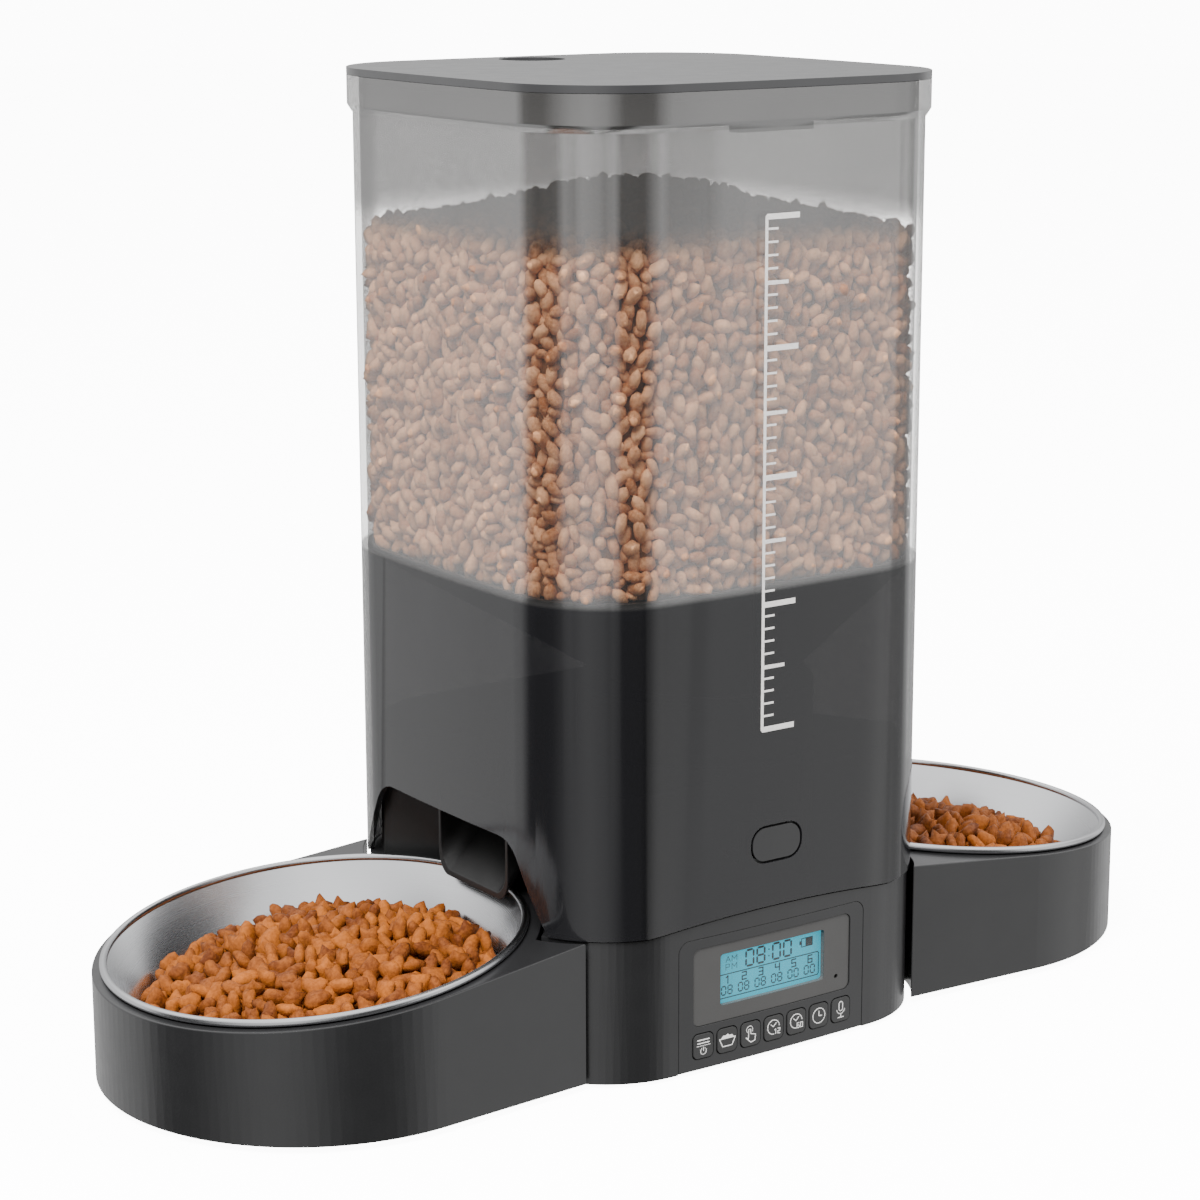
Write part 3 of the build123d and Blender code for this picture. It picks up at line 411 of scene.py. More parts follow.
@dataclass(frozen=True)
class SheetMetal:
    """Plated or painted metal with faint drawing lines."""

    name: str
    colour: Colour
    roughness: float
    metallic: float = 1.0

    def material(self) -> bpy.types.Material:
        """Build the material."""
        sheet = Sheet(self.name)
        lines = sheet.noise(900.0, 3.0, sheet.moved((0, 0, 0), (0, 0, 0), (1.0, 0.08, 1.0)))
        shader = sheet.surface(
            Base_Color=sheet.blend(sheet.noise(70.0), tuple(p * 0.85 for p in self.colour), self.colour),
            Metallic=self.metallic,
            Roughness=lines.span(0.2, 0.8, self.roughness * 0.8, self.roughness * 1.2),
            Normal=sheet.bump(lines, 0.01 * MM),
        )
        return sheet.finish(shader)


@dataclass(frozen=True)
class ClearPane:
    """Thin clear cover over the display."""

    name: str

    def material(self) -> bpy.types.Material:
        """Build the material."""
        sheet = Sheet(self.name)
        shader = sheet.surface(
            Base_Color=(0.55, 0.62, 0.65),
            Roughness=sheet.noise(300.0).span(0.3, 0.7, 0.05, 0.09),
            Specular_IOR_Level=0.15,
            Alpha=0.03,
        )
        return sheet.finish(shader)


@dataclass(frozen=True)
class LitGlass:
    """Backlit liquid crystal ground, a little brighter in its middle."""

    name: str
    middle: Colour
    width: float
    colour: Colour = (0.004, 0.48, 0.66)

    def material(self) -> bpy.types.Material:
        """Build the material."""
        sheet = Sheet(self.name)
        across = sheet.split(sheet.moved(self.middle))[0]
        fall = (across * across).span(0.0, (self.width / 2) ** 2, 1.0, 0.82)
        speck = sheet.noise(1500.0, 1.0).span(0.3, 0.7, 0.97, 1.03)
        tone = sheet.blend(fall * speck, (0.0, 0.0, 0.0), self.colour)
        shader = sheet.surface(
            Base_Color=(0.008, 0.03, 0.036),
            Roughness=0.4,
            Emission_Color=tone,
            Emission_Strength=1.0,
        )
        return sheet.finish(shader)


@dataclass(frozen=True)
class Ink:
    """Printed or etched marks."""

    name: str
    colour: Colour
    roughness: float = 0.55

    def material(self) -> bpy.types.Material:
        """Build the material."""
        sheet = Sheet(self.name)
        wear = sheet.noise(1800.0, 3.0)
        shader = sheet.surface(
            Base_Color=sheet.blend(wear.span(0.35, 0.6), tuple(p * 0.86 for p in self.colour), self.colour),
            Roughness=wear.span(0.3, 0.7, self.roughness * 0.9, self.roughness),
        )
        return sheet.finish(shader)


@dataclass(frozen=True)
class BakedFood:
    """Baked crumb: each piece has its own shade, with toasted and pale patches."""

    name: str
    pale: Colour
    deep: Colour
    pit_scale: float = 900.0

    def material(self) -> bpy.types.Material:
        """Build the material."""
        sheet = Sheet(self.name)
        own = sheet.node("ShaderNodeAttribute", {"attribute_name": "shade"})
        shade = Value(sheet, own.outputs["Fac"])
        patch = sheet.noise(170.0, 4.0)
        crumb = sheet.noise(self.pit_scale, 4.0)
        toast = shade * 0.62 + patch.span(0.3, 0.7) * 0.28 + crumb.span(0.35, 0.65) * 0.22
        shader = sheet.surface(
            Base_Color=sheet.blend(toast, self.pale, self.deep),
            Roughness=crumb.span(0.3, 0.7, 0.52, 0.74),
            Specular_IOR_Level=0.42,
            Normal=sheet.bump(crumb * 0.7 + patch * 0.5, 0.55 * MM, 0.85),
        )
        return sheet.finish(shader)


@dataclass(frozen=True)
class PaleGround:
    """Evenly lit pale sheet under the object, with a soft contact shadow."""

    name: str
    colour: Colour = (0.9, 0.9, 0.9)
    glow: float = 11.0

    def material(self) -> bpy.types.Material:
        """Build the material."""
        sheet = Sheet(self.name)
        cloud = sheet.noise(3.0, 2.0)
        shader = sheet.surface(
            Base_Color=sheet.blend(cloud, tuple(part * 0.99 for part in self.colour), self.colour),
            Roughness=0.9,
            Emission_Color=(1.0, 1.0, 1.0),
            Emission_Strength=self.glow,
        )
        material = sheet.finish(shader)
        material.cycles.emission_sampling = "NONE"
        return material


@dataclass(frozen=True)
class WovenPaper:
    """Fine woven paper of the drying sachet."""

    name: str
    colour: Colour = (0.82, 0.8, 0.74)

    def material(self) -> bpy.types.Material:
        """Build the material."""
        sheet = Sheet(self.name)
        across, along, _ = sheet.split(sheet.place())
        weave = (across * 4200.0).sine() * (along * 4200.0).sine() * 0.5 + 0.5
        shader = sheet.surface(
            Base_Color=sheet.blend(weave, tuple(p * 0.85 for p in self.colour), self.colour),
            Roughness=0.8,
            Normal=sheet.bump(weave, 0.08 * MM),
        )
        return sheet.finish(shader)


# ------------------------------------------------------------------ meshes


def closed(shape: bmesh.types.BMesh, name: str) -> bpy.types.Mesh:
    """Turn a shape being built into a named mesh."""
    mesh = bpy.data.meshes.new(name)
    shape.to_mesh(mesh)
    shape.free()
    return mesh


def mesh_object(name: str, mesh: bpy.types.Mesh) -> bpy.types.Object:
    """Link a mesh into the scene at the origin."""
    piece = bpy.data.objects.new(name, mesh)
    bpy.context.scene.collection.objects.link(piece)
    return piece


def dress(piece: bpy.types.Object, material: bpy.types.Material) -> None:
    """Give a piece one material."""
    piece.data.materials.clear()
    piece.data.materials.append(material)


def baked(piece: bpy.types.Object) -> bpy.types.Object:
    """Turn a piece and its modifiers into a plain mesh."""
    bpy.context.view_layer.update()
    graph = bpy.context.evaluated_depsgraph_get()
    mesh = bpy.data.meshes.new_from_object(piece.evaluated_get(graph))
    piece.modifiers.clear()
    piece.data = mesh
    return piece


def revolved(name: str, profile: Sequence[Point], steps: int) -> bpy.types.Mesh:
    """A closed turned shape about +Z from a profile that starts and ends on the axis.

    Args:
        name: The mesh's name.
        profile: Radius and height pairs; the first and last lie on the axis.
        steps: Divisions of the turn.

    Returns:
        The mesh, with its faces outwards.
    """
    shape = bmesh.new()
    rows = []
    for radius, height in profile:
        if radius < 1e-7:
            rows.append([shape.verts.new((0.0, 0.0, height))] * steps)
            continue
        ring = []
        for step in range(steps):
            angle = math.tau * step / steps
            ring.append(shape.verts.new((radius * math.cos(angle), radius * math.sin(angle), height)))
        rows.append(ring)
    for lower, upper in zip(rows, rows[1:]):
        for step in range(steps):
            after = (step + 1) % steps
            corners = [lower[step], lower[after], upper[after], upper[step]]
            unique = list(dict.fromkeys(corners))
            if len(unique) > 2:
                shape.faces.new(unique)
    bmesh.ops.recalc_face_normals(shape, faces=shape.faces)
    mesh = closed(shape, name)
    mesh.shade_smooth()
    return mesh


@dataclass
class RoundedSquare:
    """A square whose sides bulge by an arc and whose corners are round."""

    half: float
    corner: float
    bulge: float = 3.0 * MM
    side_r: float = field(init=False)
    corner_c: float = field(init=False)

    def __post_init__(self) -> None:
        """Work out the side's radius and the corner's centre."""
        self.side_r = self.half * self.half / (2 * self.bulge)
        side_c = self.half - self.side_r
        drop = self.side_r - self.corner
        self.corner_c = (side_c + math.sqrt(2 * drop * drop - side_c * side_c)) / 2

    def front(self, across: float) -> float:
        """The Y of the front side at a distance from its middle."""
        return -(self.half - self.side_r + math.sqrt(self.side_r**2 - across**2))

    def clearance(self, across: np.ndarray, along: np.ndarray) -> np.ndarray:
        """Distance from points inside to the nearest wall."""
        across, along = np.abs(across), np.abs(along)
        side_c = self.half - self.side_r
        near_side = self.side_r - np.hypot(across - side_c, along)
        near_front = self.side_r - np.hypot(along - side_c, across)
        corner = self.corner - np.hypot(across - self.corner_c, along - self.corner_c)
        in_corner = (across > self.corner_c) & (along > self.corner_c)
        return np.where(in_corner, corner, np.minimum(near_side, near_front))


class Sketch:
    """Flat marks in millimetres, laid on a surface as thin closed slabs."""

    def __init__(self) -> None:
        """Start with no marks."""
        self.outlines: list[list[Point]] = []

    def polygon(self, corners: Iterable[Point]) -> None:
        """Add a filled outline."""
        self.outlines.append([tuple(corner) for corner in corners])

    def dot(self, centre: Point, radius: float, steps: int = 16) -> None:
        """Add a filled disc."""
        turns = [math.tau * step / steps for step in range(steps)]
        self.polygon([(centre[0] + radius * math.cos(t), centre[1] + radius * math.sin(t)) for t in turns])

    def path(self, points: Sequence[Point], thick: float, closed: bool = False) -> None:
        """Add a line of even thickness with round joints.

        Args:
            points: The corners of the line.
            thick: Its thickness.
            closed: True to join the last corner to the first.
        """
        ends = list(points) + ([points[0]] if closed else [])
        for start, end in zip(ends, ends[1:]):
            away = Vector(end) - Vector(start)
            side = Vector((-away.y, away.x)).normalized() * (thick / 2)
            corners = [Vector(start) - side, Vector(end) - side, Vector(end) + side, Vector(start) + side]
            self.polygon([(c.x, c.y) for c in corners])
        for point in points:
            self.dot(point, thick / 2, 10)

    def arc(self, centre: Point, radius: float, start: float, end: float, thick: float) -> None:
        """Add an arc between two angles in degrees."""
        steps = max(4, int(abs(end - start) / 12))
        angles = [math.radians(start + (end - start) * step / steps) for step in range(steps + 1)]
        line = [(centre[0] + radius * math.cos(a), centre[1] + radius * math.sin(a)) for a in angles]
        self.path(line, thick)

    def mesh(self, name: str, front: Callable[[float], float], proud: float, thick: float) -> bpy.types.Mesh:
        """Lay the marks on a surface that faces -Y.

        Args:
            name: The mesh's name.
            front: The Y of the surface for an X, in metres.
            proud: How far the marks stand out of the surface, in metres.
            thick: Thickness of the slabs, in metres.

        Returns:
            One mesh with every mark.
        """
        shape = bmesh.new()
        for outline in self.outlines:
            loops = []
            for depth in (proud, proud - thick):
                loops.append([shape.verts.new((x * MM, front(x * MM) - depth, z * MM)) for x, z in outline])
            near, far = loops
            count = len(outline)
            shape.faces.new(near)
            shape.faces.new(far[::-1])
            for index in range(count):
                after = (index + 1) % count
                shape.faces.new((near[after], near[index], far[index], far[after]))
        bmesh.ops.recalc_face_normals(shape, faces=shape.faces)
        bmesh.ops.triangulate(shape, faces=shape.faces)
        return closed(shape, name)


GLYPHS: dict[str, list[list[Point]]] = {
    "0": [[(0, 0), (1, 0), (1, 2), (0, 2), (0, 0)]],
    "1": [[(0.2, 1.6), (0.6, 2), (0.6, 0)]],
    "2": [[(0, 2), (1, 2), (1, 1), (0, 1), (0, 0), (1, 0)]],
    "3": [[(0, 2), (1, 2), (1, 0), (0, 0)], [(0.1, 1), (1, 1)]],
    "4": [[(0, 2), (0, 1), (1, 1)], [(1, 2), (1, 0)]],
    "5": [[(1, 2), (0, 2), (0, 1), (1, 1), (1, 0), (0, 0)]],
    "6": [[(1, 2), (0, 2), (0, 0), (1, 0), (1, 1), (0, 1)]],
}


def write_digits(sketch: Sketch, text: str, corner: Point, size: Point, thick: float, pitch: float) -> None:
    """Draw digits as plain strokes.

    Args:
        sketch: Where they go.
        text: Digits.
        corner: Lower left corner of the first one.
        size: Width and height of a digit.
        thick: Stroke thickness.
        pitch: Distance from digit to digit.
    """
    for place, sign in enumerate(text):
        for line in GLYPHS[sign]:
            spots = [(corner[0] + place * pitch + x * size[0], corner[1] + y * size[1] / 2) for x, y in line]
            sketch.path(spots, thick)


SEGMENTS: dict[str, str] = {"0": "abcdef", "8": "abcdefg"}


def segment_digit(sketch: Sketch, sign: str, corner: Point, size: Point, thick: float) -> None:
    """Draw one seven segment digit.

    Args:
        sketch: Where it goes.
        sign: The digit.
        corner: Its lower left corner.
        size: Its width and height.
        thick: Thickness of a segment.
    """
    wide, tall = size
    gap = thick * 0.22
    half = thick / 2
    ends = {
        "a": ((0, tall), (wide, tall)),
        "b": ((wide, tall), (wide, tall / 2)),
        "c": ((wide, tall / 2), (wide, 0)),
        "d": ((0, 0), (wide, 0)),
        "e": ((0, tall / 2), (0, 0)),
        "f": ((0, tall), (0, tall / 2)),
        "g": ((0, tall / 2), (wide, tall / 2)),
    }
    for name in SEGMENTS[sign]:
        start, end = (Vector(spot) + Vector(corner) for spot in ends[name])
        ahead = (end - start).normalized()
        side = Vector((-ahead.y, ahead.x)) * half
        start, end = start + ahead * gap, end - ahead * gap
        inner_start, inner_end = start + ahead * half, end - ahead * half
        spots = [start, inner_start - side, inner_end - side, end, inner_end + side, inner_start + side]
        sketch.polygon([(spot.x, spot.y) for spot in spots])


# ------------------------------------------------------------------ skins over the frame's nodes


@dataclass
class Skin:
    """A copy of a frame node with softened edges that stands for it."""

    node: str
    round_edge: float
    sharp: float = 32.0
    segments: int = 2

    def build(self) -> bpy.types.Object:
        """Copy, merge and soften the node's mesh.

        Returns:
            The new piece, riding on the node's body.
        """
        source = bpy.data.objects[self.node]
        shape = bmesh.new()
        shape.from_mesh(source.data)
        bmesh.ops.remove_doubles(shape, verts=shape.verts, dist=0.002 * MM)
        edges, verts = list(shape.edges), list(shape.verts)
        bmesh.ops.dissolve_limit(shape, angle_limit=math.radians(0.4), verts=verts, edges=edges)
        mesh = closed(shape, self.node + "_skin")
        piece = mesh_object(self.node + "_skin", mesh)
        mesh.shade_smooth()
        mesh.set_sharp_from_angle(angle=math.radians(self.sharp))
        if self.round_edge > 0:
            bevel = piece.modifiers.new("edge", "BEVEL")
            bevel.width = self.round_edge
            bevel.segments = self.segments
            bevel.limit_method = "ANGLE"
            bevel.angle_limit = math.radians(self.sharp)
            bevel.use_clamp_overlap = True
            bevel.harden_normals = True
            baked(piece)
        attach(piece, source["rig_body"])
        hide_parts(self.node)
        return piece


# ------------------------------------------------------------------ named looks


class Look(Enum):
    """Every finish in the scene, by what it is."""

    GLOSS = Moulding("shell_gloss", (0.011, 0.011, 0.0115), 0.30, coat=0.3, coat_roughness=0.2)
    INNER = Moulding("inner_moulding", (0.009, 0.009, 0.009), 0.42)
    BEZEL = Moulding("display_surround", (0.045, 0.044, 0.043), 0.38)
    KEYCAP = Moulding("keycap_satin", (0.022, 0.022, 0.022), 0.36)
    RUBBER = Moulding("soft_rubber", (0.03, 0.03, 0.03), 0.72, grain=2600.0, level=0.3)
    ACETAL = Moulding("gear_acetal", (0.72, 0.71, 0.68), 0.38, mottle=0.04)
    BOARD = Moulding("board_mask", (0.02, 0.12, 0.05), 0.33, grain=900.0)
    LID = Moulding("lid_gloss", (0.028, 0.028, 0.029), 0.34, coat=0.5, coat_roughness=0.2)
    # The shares by height are painted light and shade: near black below the food line, clearest beside the
    # food, darker above it.
    SMOKE = SmokePlastic(
        "tank_smoke_and_painted_light_shade", (0.97, 0.965, 0.96), (0.06, 0.058, 0.056), 0.84, 0.12, 0.58, 160 * MM, 268 * MM
    )
    PANE = ClearPane("display_pane")
    SCREW = SheetMetal("screw_zinc", (0.62, 0.61, 0.58), 0.32)
    SPRING = SheetMetal("spring_nickel", (0.55, 0.54, 0.52), 0.28)
    CELL = SheetMetal("cell_sleeve", (0.24, 0.20, 0.11), 0.34)
    SACHET = WovenPaper("sachet_paper")
    LIT = LitGlass("display_ground", (0.0, -75.6 * MM, 30.5 * MM), 43.2 * MM)
    SEGMENT = Ink("display_segments", (0.004, 0.008, 0.01))
    FAINT = Ink("display_faint_marks", (0.015, 0.07, 0.09))
    KEY_MARK = Ink("key_marks", (0.78, 0.77, 0.75))
    SCALE = Ink("level_scale", (0.66, 0.64, 0.62))
    # The same food as the bowls' kibble, painted much paler here: painted light that makes up for the light
    # the smoked wall takes from the pellets.
    PELLET = BakedFood("tank_pellets_painted_light", (0.92, 0.52, 0.28), (0.30, 0.10, 0.03))
    CORE = Moulding("food_core", (0.16, 0.065, 0.026), 0.8, grain=300.0, grain_depth=0.8 * MM)
    KIBBLE = BakedFood("bowl_kibble", (0.33, 0.095, 0.014), (0.075, 0.018, 0.0035))


class Palette:
    """Builds each finish once."""

    def __init__(self) -> None:
        """Start with nothing built."""
        self._built: dict[str, bpy.types.Material] = {}

    def get(self, look: "Look | Moulding | SpunSteel") -> bpy.types.Material:
        """The material of a look or of a finish.

        Args:
            look: A Look, or a finish that is not shared.

        Returns:
            Its material.
        """
        finish = look.value if isinstance(look, Look) else look
        if finish.name not in self._built:
            self._built[finish.name] = finish.material()
        return self._built[finish.name]


# ------------------------------------------------------------------ food


class Dice:
    """Evenly spread random numbers with a fixed start."""

    def __init__(self, seed: int) -> None:
        """Start the sequence.

        Args:
            seed: Which sequence.
        """
        self.source = np.random.default_rng(seed)

    def between(
        self, low: float, high: float, size: tuple[int, ...] | None = None
    ) -> float | np.ndarray:
        """Numbers between two limits."""
        return self.source.uniform(low, high, size)


@dataclass
class Nugget:
    """One piece of food: a lobed pillow about a unit across."""

    name: str
    lobes: int
    lobe_depth: float
    stretch: tuple[float, float, float]
    around: int = 8
    rings: int = 3
    lumps: float = 0.08
    seed: int = 1

    def build(self) -> bpy.types.Object:
        """Make its mesh.

        Returns:
            The piece, to be instanced and then removed.
        """
        dice = Dice(self.seed)
        shape = bmesh.new()
        top = shape.verts.new((0.0, 0.0, 0.5 * self.stretch[2]))
        bottom = shape.verts.new((0.0, 0.0, -0.5 * self.stretch[2]))
        rows = []
        for ring in range(1, self.rings + 1):
            polar = math.pi * ring / (self.rings + 1)
            row = []
            for step in range(self.around):
                angle = math.tau * step / self.around
                lobe = 1 + self.lobe_depth * math.cos(self.lobes * angle)
                wide = 0.5 * math.sin(polar) ** 0.75 * lobe * (1 + dice.between(-self.lumps, self.lumps))
                tall = 0.5 * math.cos(polar) * (1 + dice.between(-self.lumps, self.lumps))
                spot = (wide * math.cos(angle), wide * math.sin(angle), tall)
                row.append(shape.verts.new([part * size for part, size in zip(spot, self.stretch)]))
            rows.append(row)
        for step in range(self.around):
            after = (step + 1) % self.around
            shape.faces.new((top, rows[0][step], rows[0][after]))
            shape.faces.new((bottom, rows[-1][after], rows[-1][step]))
            for upper, lower in zip(rows, rows[1:]):
                shape.faces.new((upper[step], lower[step], lower[after], upper[after]))
        bmesh.ops.recalc_face_normals(shape, faces=shape.faces)
        mesh = closed(shape, self.name)
        mesh.shade_smooth()
        return mesh_object(self.name, mesh)


@dataclass
class Heap:
    """Food dropped piece by piece into a vessel, each on the lowest free spot of a few tried."""

    pool: np.ndarray
    ground: Callable[[np.ndarray, float], np.ndarray]
    crest: Callable[[np.ndarray], np.ndarray]
    radius: tuple[float, float]
    settle: float = 0.84
    tries: int = 12
    patience: int = 60

    def fill(self, limit: int, seed: int) -> tuple[np.ndarray, np.ndarray]:
        """Drop the pieces.

        Args:
            limit: The most pieces.
            seed: Which random sequence.

        Returns:
            Their centres and radii.
        """
        dice = Dice(seed)
        spots = np.zeros((limit, 3))
        sizes = np.zeros(limit)
        count = misses = 0
        while count < limit and misses < self.patience:
            radius = dice.between(*self.radius)
            tried = self.pool[dice.source.integers(0, len(self.pool), self.tries)]
            height = self.ground(tried, radius)
            if count:
                apart = tried[:, None, :] - spots[None, :count, :2]
                reach = ((sizes[:count] + radius) * self.settle) ** 2
                rise = reach[None, :] - (apart**2).sum(axis=2)
                stacked = np.where(rise > 0, spots[None, :count, 2] + np.sqrt(np.maximum(rise, 0)), -1e9)
                height = np.maximum(height, stacked.max(axis=1))
            spare = height - self.crest(tried)
            best = int(np.argmin(spare))
            if spare[best] > 0:
                misses += 1
                continue
            spots[count] = (*tried[best], height[best])
            sizes[count] = radius
            count += 1
            misses = 0
        return spots[:count], sizes[:count]


class GraphSheet:
    """A geometry node group with named inputs."""

    def __init__(self, name: str) -> None:
        """Start the group.

        Args:
            name: The group's name.
        """
        self.group = bpy.data.node_groups.new(name, "GeometryNodeTree")
        face = self.group.interface
        face.new_socket("Geometry", in_out="INPUT", socket_type="NodeSocketGeometry")
        face.new_socket("Geometry", in_out="OUTPUT", socket_type="NodeSocketGeometry")
        self.entry = self.group.nodes.new("NodeGroupInput")
        self.identifiers: dict[str, str] = {}

    def input(self, name: str, kind: str) -> None:
        """Add a named input of a socket type."""
        socket = self.group.interface.new_socket(name, in_out="INPUT", socket_type=kind)
        self.identifiers[name] = socket.identifier

    def node(self, kind: str, settings: dict | None = None, sockets: dict | None = None) -> bpy.types.Node:
        """Add a node.

        Args:
            kind: Its type.
            settings: Properties set first.
            sockets: Input name or index to a value, a node or a socket.

        Returns:
            The node.
        """
        node = self.group.nodes.new(kind)
        for key, value in (settings or {}).items():
            setattr(node, key, value)
        for key, value in (sockets or {}).items():
            if isinstance(value, bpy.types.Node):
                value = value.outputs[0]
            if isinstance(value, bpy.types.NodeSocket):
                self.group.links.new(value, node.inputs[key])
            else:
                node.inputs[key].default_value = value
        return node

    def finish(self, instances: bpy.types.Node) -> None:
        """Realise the instances, give them the material and close the group."""
        real = self.node("GeometryNodeRealizeInstances", None, {0: instances})
        sockets = {0: real, "Material": self.entry.outputs["Material"]}
        coloured = self.node("GeometryNodeSetMaterial", None, sockets)
        self.node("NodeGroupOutput", None, {0: coloured})

    def apply(self, piece: bpy.types.Object, **values) -> bpy.types.Object:
        """Run the group on a piece and keep the result as a plain mesh.

        Args:
            piece: The piece.
            values: The named inputs.

        Returns:
            The same piece.
        """
        modifier = piece.modifiers.new(self.group.name, "NODES")
        for name, value in values.items():
            modifier[self.identifiers[name]] = value
        modifier.node_group = self.group
        for name, value in values.items():
            modifier[self.identifiers[name]] = value
        return baked(piece)


class ScatterGraph(GraphSheet):
    """Instances one of several nuggets on each point, tumbled and shaded at random."""

    def __init__(self) -> None:
        """Build the group."""
        super().__init__("scatter_food")
        self.input("Nuggets", "NodeSocketCollection")
        self.input("Seed", "NodeSocketInt")
        self.input("Tumble", "NodeSocketFloat")
        self.input("Material", "NodeSocketMaterial")
        entry = self.entry.outputs
        choices = self.node("GeometryNodeCollectionInfo", None, {0: entry["Nuggets"], 1: True, 2: True})
        kinds = {4: 0, 5: 5, "Seed": entry["Seed"]}
        which = self.node("FunctionNodeRandomValue", {"data_type": "INT"}, kinds)
        size = self.node("GeometryNodeInputNamedAttribute", {"data_type": "FLOAT"}, {"Name": "size"})
        half_turns = {0: (-3.14,) * 3, 1: (3.14,) * 3, "Seed": entry["Seed"]}
        turn = self.node("FunctionNodeRandomValue", {"data_type": "FLOAT_VECTOR"}, half_turns)
        lean = self.node("ShaderNodeVectorMath", {"operation": "SCALE"}, {0: turn, "Scale": entry["Tumble"]})
        placed = self.node("GeometryNodeInstanceOnPoints", None, {
            "Points": entry["Geometry"],
            "Instance": choices,
            "Pick Instance": True,
            "Instance Index": which.outputs[2],
            "Rotation": lean,
            "Scale": size,
        })
        shades = {2: 0.0, 3: 1.0, "Seed": entry["Seed"]}
        tint = self.node("FunctionNodeRandomValue", {"data_type": "FLOAT"}, shades)
        kept = self.node("GeometryNodeStoreNamedAttribute", {"domain": "INSTANCE"}, {
            "Geometry": placed,
            "Name": "shade",
            "Value": tint.outputs[1],
        })
        self.finish(kept)


class RowGraph(GraphSheet):
    """Repeats one mark at even steps along a line."""

    def __init__(self) -> None:
        """Build the group."""
        super().__init__("repeat_marks")
        self.input("Count", "NodeSocketInt")
        self.input("Step", "NodeSocketVector")
        self.input("Material", "NodeSocketMaterial")
        entry = self.entry.outputs
        line = self.node("GeometryNodeMeshLine", None, {"Count": entry["Count"], "Offset": entry["Step"]})
        sockets = {"Points": line, "Instance": entry["Geometry"]}
        placed = self.node("GeometryNodeInstanceOnPoints", None, sockets)
        self.finish(placed)


class Pantry:
    """The nugget shapes and the graph that scatters them."""

    def __init__(self, palette: Palette) -> None:
        """Keep the palette and build the graph.

        Args:
            palette: The finishes.
        """
        self.palette = palette
        self.graph = ScatterGraph()

    def _shelf(self, name: str, nuggets: Sequence[Nugget]) -> bpy.types.Collection:
        """A collection of nuggets to pick from."""
        shelf = bpy.data.collections.new(name)
        for nugget in nuggets:
            piece = nugget.build()
            bpy.context.scene.collection.objects.unlink(piece)
            shelf.objects.link(piece)
        return shelf

    def pour(
        self,
        name: str,
        spots: np.ndarray,
        sizes: np.ndarray,
        nuggets: Sequence[Nugget],
        look: Look,
        seed: int,
    ) -> bpy.types.Object:
        """Turn centres and sizes into one mesh of food.

        Args:
            name: The piece's name.
            spots: Centres.
            sizes: Diameter of the nugget at each.
            nuggets: The shapes to pick from.
            look: The food's finish.
            seed: Which random sequence.

        Returns:
            The piece.
        """
        mesh = bpy.data.meshes.new(name)
        mesh.from_pydata(spots.tolist(), [], [])
        mesh.attributes.new("size", "FLOAT", "POINT").data.foreach_set("value", sizes.astype(np.float32))
        piece = mesh_object(name, mesh)
        shelf = self._shelf(name + "_shapes", nuggets)
        material = self.palette.get(look)
        self.graph.apply(piece, Nuggets=shelf, Seed=seed, Tumble=1.0, Material=material)
        piece.data.shade_smooth()
        for helper in list(shelf.objects):
            bpy.data.objects.remove(helper)
        bpy.data.collections.remove(shelf)
        LOG.info("%s: %d pieces, %d faces", name, len(spots), len(piece.data.polygons))
        return piece


# ------------------------------------------------------------------ sub-assemblies


